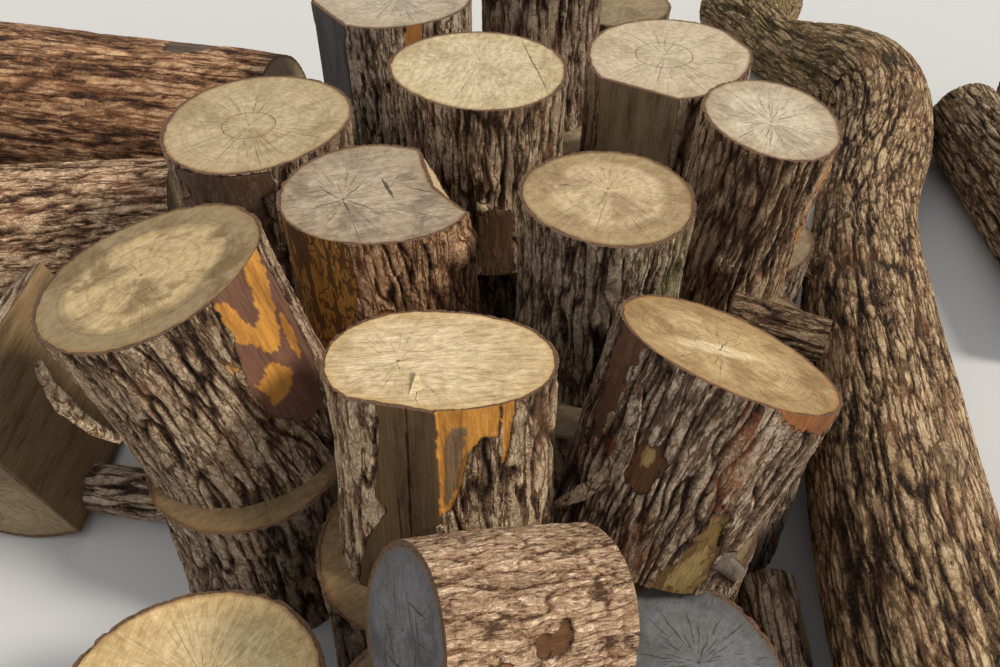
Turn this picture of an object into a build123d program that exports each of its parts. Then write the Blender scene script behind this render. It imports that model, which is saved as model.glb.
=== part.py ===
from build123d import *
import math
import os

os.makedirs("parts", exist_ok=True)

# Heap of logs, in millimetres: X runs to the right, Y away from the viewer, Z up from the ground.
# Firewood rounds are sawn by eye to about 16 inches, so a ground layer of rounds carries an upper one.
ground_length = 360
upper_length = 400
seat_gap = 0.3
slide_steps = 20
slide_share = 0.8
slide_caution = 1.4
outline_points = 12
lobe = 0.02
foot_flare = 1.04
waist_share = 0.45
waist_growth = 0.99
lying_middle_growth = 1.03
lying_turn = 25
trunk_oval = 0.02
trunk_turn = 30
leaning_oval = 0.05
leaning_turn = -25

# A round is a top centre, a diameter, and how far its outline is from a circle.
# oval and lobe are shares of the radius; the turns are degrees from X.
ground_rounds = {
    "front_left_ground_round": dict(at=(-505, 580), diameter=416, length=412, oval=0.03, turn=20),
    "front_round_base": dict(at=(-170, 905), diameter=365, oval=0.04, turn=70),
    "left_leaning_base": dict(at=(-545, 1110), diameter=385, length=388, oval=0.05, turn=30),
    "chipped_round_base": dict(at=(-215, 1300), diameter=350, oval=0.03, turn=10),
    "middle_left_base": dict(at=(-330, 1690), diameter=370, oval=0.04, turn=100),
    "back_left_base": dict(at=(-600, 1820), diameter=370, oval=0.05, turn=150),
    "middle_back_base": dict(at=(10, 1990), diameter=380, oval=0.03, turn=60),
    "middle_right_base": dict(at=(145, 1330), diameter=345, oval=0.04, turn=140),
    "middle_right_back_base": dict(at=(290, 1660), diameter=360, oval=0.03, turn=20),
    "back_right_base": dict(at=(425, 2155), diameter=400, oval=0.05, turn=80),
    "far_left_base": dict(at=(-230, 2330), diameter=400, oval=0.04, turn=40),
    "far_right_base": dict(at=(175, 2490), diameter=390, oval=0.03, turn=120),
    "far_ground_round": dict(at=(460, 2900), diameter=340, length=600, oval=0.04, turn=15),
    "front_log_base": dict(at=(-90, 520), diameter=360, length=430, oval=0.03, turn=75),
    "front_right_base": dict(at=(330, 650), diameter=320, length=350, oval=0.05, turn=110),
    "leaning_round_base": dict(at=(370, 1000), diameter=310, length=295, oval=0.04, turn=50),
    "leaning_round_prop": dict(at=(560, 1270), diameter=330, length=430, oval=0.03, turn=95),
    "shaded_ground_round": dict(at=(615, 1560), diameter=290, oval=0.04, turn=0),
    "right_base": dict(at=(684, 1885), diameter=350, oval=0.03, turn=130),
}

# Ground rounds that are pushed against a neighbour, in this order.
pushed_together = [
    ("chipped_round_base", "front_round_base"),
    ("left_leaning_base", "front_round_base"),
    ("middle_right_base", "chipped_round_base"),
    ("back_right_base", "middle_back_base"),
    ("far_left_base", "middle_back_base"),
    ("far_right_base", "far_left_base"),
    ("front_log_base", "front_round_base"),
    ("front_left_ground_round", "front_log_base"),
    ("front_right_base", "leaning_round_base"),
]

# lean is how far the top tips from level and lean_to where it tips, in degrees from X.
upper_rounds = {
    "front_round": dict(at=(-100, 989), length=410, diameter=342, oval=0.15, turn=-3, lean=9, lean_to=90),
    "left_leaning_round": dict(at=(-624, 1173), length=412, diameter=416, oval=0.03, turn=20,
                               lean=13, lean_to=180, on="left_leaning_base"),
    "back_left_round": dict(at=(-574, 1815), length=385, diameter=455, oval=0.05, turn=68),
    "chipped_round": dict(at=(-258, 1505), length=390, diameter=400, oval=0.05, turn=-10),
    "middle_back_round": dict(at=(-49, 1933), length=460, diameter=432, oval=0.04, turn=-36),
    "middle_right_round": dict(at=(217, 1417), length=440, diameter=348, oval=0.03, turn=-34),
    "back_right_round": dict(at=(442, 2108), length=410, diameter=455, oval=0.06, turn=68),
    "right_round": dict(at=(617, 1728), length=440, diameter=336, oval=0.05, turn=86, lean=6, lean_to=340),
    "far_left_round": dict(at=(-309, 2415), length=440, diameter=440, oval=0.04, turn=0),
    "far_right_round": dict(at=(130, 2600), length=440, diameter=380, oval=0.05, turn=50),
}

# The leaning round stands on the rim of its foot and rests against its prop.
leaning_foot = (300, 927)
leaning_diameter = 364
leaning_length = 415
leaning_angle = 25
leaning_to = 41
leaning_growths = (0.88, 0.98, 1.06)

# Flats sawn or split down a side: the round, the way that the flat faces and how deep it cuts in.
sawn_flats = [
    ("front_round", 257, 9),
    ("back_right_round", 238, 34),
    ("back_right_round", 20, 9),
    ("far_left_round", 215, 26),
]

# The broken edge of the chipped round: its corners from the middle of the top. It slopes out downwards.
chip_corners = [(72, 202), (120, 22), (150, -20), (191, -70), (420, -150), (420, 420), (100, 420)]
chip_slope = 0.55
chip_depth = 170

# The saw kerf in the middle back round's top: the way it lies from the middle, how far, and its cut.
kerf_way = 11
kerf_offset = 135
kerf_width = 7
kerf_depth = 14

# Swellings: the round, the way they face, their share of its height, their radius and their rise.
burls = [
    ("chipped_round", 335, 0.80, 55, 22),
    ("middle_back_round", 276, 0.59, 42, 15),
    ("right_round", 250, 0.30, 50, 14),
    ("back_left_round", 285, 0.40, 50, 12),
]

# Branch stubs: the round, the way they face, their share of its height, their radius and their rise.
branch_stubs = [
    ("front_right_leaning_round", 313, 0.16, 23, 24),
    ("middle_back_round", 272, 0.45, 14, 14),
]
stub_root = 40

# The splinter that stands on the front round's top: its corners from the middle of the top, and its height.
splinter_corners = [(-30, -48), (-46, -134), (-4, -136)]
splinter_height = 12
splinter_taper = 22

# Lying logs: the two ends of the axis on the ground plan, and the diameter at each end.
big_log_ends = ((-720, 2540), (-3070, 3030))
big_log_diameters = (520, 560)
lower_log_ends = ((-960, 2060), (-2130, 1910))
lower_log_diameters = (400, 420)
second_trunk_ends = ((1780, 1720), (1820, 2900))
second_trunk_diameters = (300, 280)
dark_log_ends = ((2160, 2500), (2280, 3150))
dark_log_diameters = (360, 350)
front_log_ends = ((-130, 560), (150, 673))
front_log_diameters = (280, 270)
front_log_slope = 20
orange_log_ends = ((545, 1490), (745, 1400))
orange_log_diameters = (112, 104)
gap_log_ends = ((610, 490), (640, 990))
gap_log_diameters = (120, 130)
stub_ends = ((-790, 1210), (-1090, 1260))
stub_diameters = (125, 115)

# The half log lies with its sawn face turned to the heap.
half_log_ends = ((-1230, 1150), (-1230, 1650))
half_log_diameter = 440
half_log_cut = 20
half_log_face_tilt = 18

# The bent trunk: points of its axis on the ground plan, with the diameter at each.
trunk_axis = [
    (830, 460, 385), (870, 1000, 378), (955, 1450, 370), (1060, 1880, 350), (1200, 2300, 300),
    (1370, 2700, 345), (1440, 3010, 395), (1330, 3330, 335), (1190, 3640, 295), (1080, 3980, 275),
]
# Swellings where branches grew from the trunk: place on the ground plan, height of the middle, radius.
trunk_burls = [(1419, 2748, 290, 78), (925, 1880, 220, 60), (925, 1110, 305, 74), (1150, 3560, 180, 80)]
trunk_section_points = 10
trunk_stations = 12
trunk_room = 120


def direction(lean, lean_to):
    """The unit vector that leans from upright by lean degrees toward lean_to."""
    tip = math.radians(lean)
    side = math.radians(lean_to)
    return Vector(math.sin(tip) * math.cos(side), math.sin(tip) * math.sin(side), math.cos(tip))


def outline_radius(angle, diameter, oval, turn):
    """A log's radius at an angle: a circle with a slight oval and three soft lobes."""
    bulge = 1 + oval * math.cos(2 * (angle - math.radians(turn)))
    bulge += lobe * math.cos(3 * (angle - math.radians(2 * turn)))
    return diameter / 2 * bulge


def log_section(plane, diameter, oval, turn, points=outline_points):
    """A log's outline on a plane."""
    corners = []
    for step in range(points):
        angle = 2 * math.pi * step / points
        radius = outline_radius(angle, diameter, oval, turn)
        corners.append((radius * math.cos(angle), radius * math.sin(angle)))
    with BuildSketch(plane) as outline:
        with BuildLine():
            Spline(*corners, periodic=True)
        make_face()
    return outline.sketch


def round_axis(at, foot, length, lean=0, lean_to=0):
    """The middle of a round's foot and of its top, which is over the place given."""
    axis = direction(lean, lean_to)
    top_centre = Vector(at[0], at[1], foot + length)
    return top_centre - axis * (length / axis.Z), top_centre


def standing_round(ends, diameter, oval, turn, lean=0, lean_to=0):
    """A round on its level sawn foot, with its top tipped the way that the round leans."""
    foot_centre, top_centre = ends
    sections = []
    for share, growth in ((0, foot_flare), (waist_share, waist_growth), (1, 1)):
        centre = foot_centre + (top_centre - foot_centre) * share
        normal = direction(lean * share, lean_to)
        plane = Plane(origin=centre, x_dir=Vector(0, 1, 0).cross(normal), z_dir=normal)
        sections.append(log_section(plane, diameter * growth, oval, turn))
    with BuildPart() as wood:
        loft(sections)
    return wood.part


def side_place(ends, way, share, radius):
    """A place beside a log's axis and the way out of the wood there."""
    axis = (ends[1] - ends[0]).normalized()
    side = direction(90, way)
    out = (side - axis * side.dot(axis)).normalized()
    return ends[0] + (ends[1] - ends[0]) * share + out * radius, out


def swelling(place, out, radius, rise):
    """A ball that rises from a log's side."""
    return Pos(*(place - out * (radius - rise))) * Sphere(radius)


def branch_stub(place, out, radius, rise):
    """A short sawn branch that stands out of a log's side."""
    root = Plane(origin=place - out * stub_root, z_dir=out)
    return root * Cylinder(radius, stub_root + rise, align=(Align.CENTER, Align.CENTER, Align.MIN))


def lying_log(ends, diameters, oval=0.03, slope=0):
    """A log whose axis runs between two points of the ground plan, lying on the ground."""
    run = Vector(*ends[1]) - Vector(*ends[0])
    length = run.length
    middle = (diameters[0] + diameters[1]) / 2 * lying_middle_growth
    stations = ((0, diameters[0]), (0.5, middle), (1, diameters[1]))
    sections = []
    for share, diameter in stations:
        plane = Plane(origin=(0, 0, length * share))
        sections.append(log_section(plane, diameter, oval, lying_turn))
    with BuildPart() as wood:
        loft(sections)
    heading = math.degrees(math.atan2(run.Y, run.X))
    laid = Rot(0, 0, heading) * Rot(0, 90 + slope, 0) * wood.part
    low = laid.bounding_box().min.Z
    return Pos(ends[0][0], ends[0][1], -low) * laid


def push(wood, way, carriers):
    """Slide a log the given way until it is one seat gap from the nearest of the carriers."""
    way = way.normalized()
    apart = [wood.distance_to(carrier) for carrier in carriers]
    closing = [1] * len(carriers)
    for _ in range(slide_steps):
        if min(apart) < 1.5 * seat_gap:
            break
        move = slide_share * min((gap - seat_gap) / rate for gap, rate in zip(apart, closing))
        wood = Pos(*(way * move)) * wood
        left = [wood.distance_to(carrier) for carrier in carriers]
        closing = [min(1, max(slide_caution * (was - now) / move, 0.1)) for was, now in zip(apart, left)]
        apart = left
    return wood


logs = {}
axis_ends = {}

for name, size in ground_rounds.items():
    axis_ends[name] = round_axis(size["at"], 0, size.get("length", ground_length))
    logs[name] = standing_round(axis_ends[name], size["diameter"], size["oval"], size["turn"])

# Upper rounds on their level feet.
for name, size in upper_rounds.items():
    carrier = ground_rounds.get(size.get("on"), {})
    foot = carrier.get("length", ground_length) + seat_gap
    lean, lean_to = size.get("lean", 0), size.get("lean_to", 0)
    axis_ends[name] = round_axis(size["at"], foot, size["length"], lean, lean_to)
    logs[name] = standing_round(axis_ends[name], size["diameter"], size["oval"], size["turn"], lean, lean_to)

for name, neighbour in pushed_together:
    way = logs[neighbour].center() - logs[name].center()
    logs[name] = push(logs[name], Vector(way.X, way.Y, 0), [logs[neighbour]])

# The long bent trunk, with a wider knee where it turns, lofted through even steps of its axis.
with BuildLine() as trunk_route:
    Spline(*[(x, y, 0) for x, y, diameter in trunk_axis])
trunk_line = trunk_route.wires()[0]
trunk_shares = [trunk_line.param_at_point(Vector(x, y, 0)) for x, y, diameter in trunk_axis]
trunk_sections = []
for step in range(trunk_stations):
    share = step / (trunk_stations - 1)
    after = next(index for index, known in enumerate(trunk_shares) if known >= share - 1e-6) or 1
    before = after - 1
    blend = (share - trunk_shares[before]) / (trunk_shares[after] - trunk_shares[before])
    diameter = trunk_axis[before][2] * (1 - blend) + trunk_axis[after][2] * blend
    centre = trunk_line.position_at(share)
    along = trunk_line.tangent_at(share)
    section_plane = Plane(origin=(centre.X, centre.Y, diameter / 2), x_dir=Vector(0, 0, 1).cross(along),
                          z_dir=along)
    trunk_sections.append(log_section(section_plane, diameter, trunk_oval, trunk_turn, trunk_section_points))
with BuildPart() as bent_trunk:
    loft(trunk_sections)
trunk_low = bent_trunk.part.bounding_box().min.Z
trunk_wood = bent_trunk.part
for x, y, height, radius in trunk_burls:
    trunk_wood += Pos(x, y, height) * Sphere(radius)

# Flats, swellings and branch stubs of the rounds.
for name, way, depth in sawn_flats:
    size = upper_rounds[name]
    radius = outline_radius(math.radians(way), size["diameter"], size["oval"], size["turn"])
    place, out = side_place(axis_ends[name], way, 1, radius - depth)
    with BuildPart() as flattened:
        add(logs[name])
        split(bisect_by=Plane(origin=place, z_dir=out), keep=Keep.BOTTOM)
    logs[name] = flattened.part
top_middle = axis_ends["chipped_round"][1]
with BuildPart() as chip:
    with BuildSketch(Plane(origin=top_middle)):
        with BuildLine():
            Polyline(*chip_corners, close=True)
        make_face()
    extrude(amount=chip_depth, dir=(chip_slope, 0, -1))
logs["chipped_round"] = logs["chipped_round"] - chip.part
place, out = side_place(axis_ends["middle_back_round"], kerf_way, 1, kerf_offset)
kerf_length = upper_rounds["middle_back_round"]["diameter"] * 2
kerf = Plane(origin=place, x_dir=out, z_dir=(0, 0, 1)) * Box(kerf_width, kerf_length, 2 * kerf_depth)
logs["middle_back_round"] = logs["middle_back_round"] - kerf
front_size = upper_rounds["front_round"]
front_way = direction(front_size["lean"], front_size["lean_to"])
splinter_plane = Plane(origin=axis_ends["front_round"][1], x_dir=(1, 0, 0), z_dir=front_way)
with BuildPart() as front_round:
    add(logs["front_round"])
    with BuildSketch(splinter_plane):
        with BuildLine():
            Polyline(*splinter_corners, close=True)
        make_face()
    extrude(amount=splinter_height, taper=splinter_taper)
logs["front_round"] = front_round.part

# The leaning round stands on the rim of its foot, close to the front round.
leaning_axis = direction(leaning_angle, leaning_to)
leaning_sections = []
for share, growth in zip((0, waist_share, 1), leaning_growths):
    centre = Vector(*leaning_foot, 0) + leaning_axis * leaning_length * share
    section_plane = Plane(origin=centre, x_dir=Vector(0, 1, 0).cross(leaning_axis), z_dir=leaning_axis)
    section_diameter = leaning_diameter * growth
    leaning_sections.append(log_section(section_plane, section_diameter, leaning_oval, leaning_turn))
with BuildPart() as leaning_round:
    loft(leaning_sections)
low = leaning_round.part.bounding_box().min.Z
foot_centre = Vector(*leaning_foot, ground_rounds["leaning_round_base"]["length"] + seat_gap - low)
axis_ends["front_right_leaning_round"] = (foot_centre, foot_centre + leaning_axis * leaning_length)
logs["front_right_leaning_round"] = Pos(0, 0, foot_centre.Z) * leaning_round.part

for name, way, share, radius, rise in burls:
    size = upper_rounds[name]
    reach = outline_radius(math.radians(way), size["diameter"], size["oval"], size["turn"])
    logs[name] += swelling(*side_place(axis_ends[name], way, share, reach), radius, rise)
for name, way, share, radius, rise in branch_stubs:
    diameter = upper_rounds.get(name, {}).get("diameter", leaning_diameter)
    logs[name] += branch_stub(*side_place(axis_ends[name], way, share, diameter / 2), radius, rise)
leaning_wood = logs["front_right_leaning_round"]
logs["front_right_leaning_round"] = push(leaning_wood, Vector(-1, 0, 0), [logs["front_round"]])

way = logs["front_right_leaning_round"].center() - logs["leaning_round_prop"].center()
logs["leaning_round_prop"] = push(logs["leaning_round_prop"], Vector(way.X, way.Y, 0),
                                  [logs["front_right_leaning_round"]])
way = logs["leaning_round_prop"].center() - logs["shaded_ground_round"].center()
logs["shaded_ground_round"] = push(logs["shaded_ground_round"], Vector(way.X, way.Y, 0),
                                   [logs["leaning_round_prop"]])

# The trunk lies against the rounds and the small log that fills the gap before it.
trunk_way = Vector(-1, 0, 0)
gap_log = lying_log(gap_log_ends, gap_log_diameters)
logs["gap_log"] = push(gap_log, trunk_way, [logs["leaning_round_base"], logs["front_right_base"]])
carrier_names = ("gap_log", "leaning_round_prop", "shaded_ground_round", "right_base")
trunk_carriers = [logs[name] for name in carrier_names]
logs["bent_trunk"] = push(Pos(trunk_room, 0, -trunk_low) * trunk_wood, trunk_way, trunk_carriers)

# Lying logs at the left and behind the trunk.
logs["big_lying_log"] = lying_log(big_log_ends, big_log_diameters)
lower_log = lying_log(lower_log_ends, lower_log_diameters)
logs["lower_lying_log"] = push(lower_log, Vector(0, 1, 0), [logs["big_lying_log"]])
logs["back_left_base"] = push(logs["back_left_base"], Vector(-1, 0.4, 0), [logs["lower_lying_log"]])
second_trunk = lying_log(second_trunk_ends, second_trunk_diameters)
logs["second_trunk"] = push(second_trunk, Vector(-1, 0, 0), [logs["bent_trunk"]])
dark_log = lying_log(dark_log_ends, dark_log_diameters)
logs["dark_log"] = push(dark_log, Vector(-1, 0, 0), [logs["second_trunk"]])

# The half log, sawn along its length.
whole = lying_log(half_log_ends, (half_log_diameter, half_log_diameter))
with BuildPart() as half_log:
    add(whole)
    centre = whole.center()
    face_way = direction(90 - half_log_face_tilt, 0)
    split(bisect_by=Plane(origin=centre + face_way * half_log_cut, z_dir=face_way), keep=Keep.BOTTOM)
stub = lying_log(stub_ends, stub_diameters)
logs["ground_stub"] = push(stub, Vector(1, 0, 0), [logs["left_leaning_base"]])
logs["half_log"] = push(half_log.part, Vector(1, 0, 0), [logs["ground_stub"]])

logs["far_ground_round"] = push(logs["far_ground_round"], Vector(-1, -1, 0),
                                [logs["far_right_round"], logs["far_right_base"]])

# Small logs between the rounds.
front_log = lying_log(front_log_ends, front_log_diameters, slope=front_log_slope)
front_log = Pos(0, 0, 2 * upper_length) * front_log
front_log_carriers = [logs["front_log_base"], logs["front_right_base"], logs["front_round"]]
logs["front_lying_log"] = push(front_log, Vector(0, 0, -1), front_log_carriers)
orange_log = lying_log(orange_log_ends, orange_log_diameters)
logs["orange_end_log"] = Pos(0, 0, ground_length + seat_gap) * orange_log

# The whole heap moves so that its box stands on the origin.
heap_box = Compound(list(logs.values())).bounding_box()
heap_centre = heap_box.center()
for name, wood in logs.items():
    placed = Pos(-heap_centre.X, -heap_centre.Y, -heap_box.min.Z) * wood.solid()
    placed.label = name
    export_step(placed, f"parts/{name}.step")
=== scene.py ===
import math

import bpy
import numpy as np
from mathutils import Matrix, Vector
from mathutils.bvhtree import BVHTree


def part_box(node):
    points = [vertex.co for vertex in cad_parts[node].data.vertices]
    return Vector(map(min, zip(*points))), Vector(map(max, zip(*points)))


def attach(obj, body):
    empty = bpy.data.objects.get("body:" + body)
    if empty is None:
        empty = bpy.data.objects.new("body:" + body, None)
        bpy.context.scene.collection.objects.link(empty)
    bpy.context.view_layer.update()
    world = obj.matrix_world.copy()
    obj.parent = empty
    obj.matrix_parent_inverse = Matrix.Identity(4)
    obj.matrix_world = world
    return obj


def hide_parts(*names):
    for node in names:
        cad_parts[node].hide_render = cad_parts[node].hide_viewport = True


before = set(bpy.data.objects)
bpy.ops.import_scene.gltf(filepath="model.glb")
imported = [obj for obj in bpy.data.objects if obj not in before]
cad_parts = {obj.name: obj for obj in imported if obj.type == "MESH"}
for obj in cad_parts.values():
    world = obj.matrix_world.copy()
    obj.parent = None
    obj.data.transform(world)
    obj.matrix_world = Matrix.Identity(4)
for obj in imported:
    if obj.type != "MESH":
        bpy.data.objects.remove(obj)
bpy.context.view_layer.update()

print("frame loaded")

# How finely a log is meshed: points around and along its side.
meshDetail = {
    "near": {"around": 360, "along": 70},
    "seen": {"around": 290, "along": 58},
    "partSeen": {"around": 180, "along": 42},
    "hidden": {"around": 90, "along": 20},
    "longLog": {"around": 160, "along": 130},
    "trunk": {"around": 240, "along": 380},
}
# How far out from the heart the rings of points on a sawn end lie.
endShares = (0.6, 0.95, 1.0)

# Every log starts from these looks. pith is where the heart of the sawn top is, in metres from its middle.
# startBelow is how far below its top, in metres, the log's outline there is taken.
plainLog = {
    "detail": "hidden", "bark": "furrowed", "top": "dullWood", "foot": "dullWood", "pith": (0.01, 0.01),
    "tint": (1.0, 1.0, 1.0), "patches": (), "flaps": (), "chipped": False, "startBelow": 0.002,
}

# Colours as seen on a screen, 0 to 255, for the bare and covered patches of the logs.
oliveFlat = (100, 80, 54)
freshOrange = (208, 148, 70)
orangeBark = (164, 96, 44)
mauveBare = (122, 88, 70)
tanBare = (178, 140, 84)
brownBare = (118, 90, 64)
# Painted shade inside cracks on a log's side.
sideCrackShade = (44, 32, 24)
mossGreen = (108, 108, 58)
paleWood = (200, 180, 142)

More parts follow.
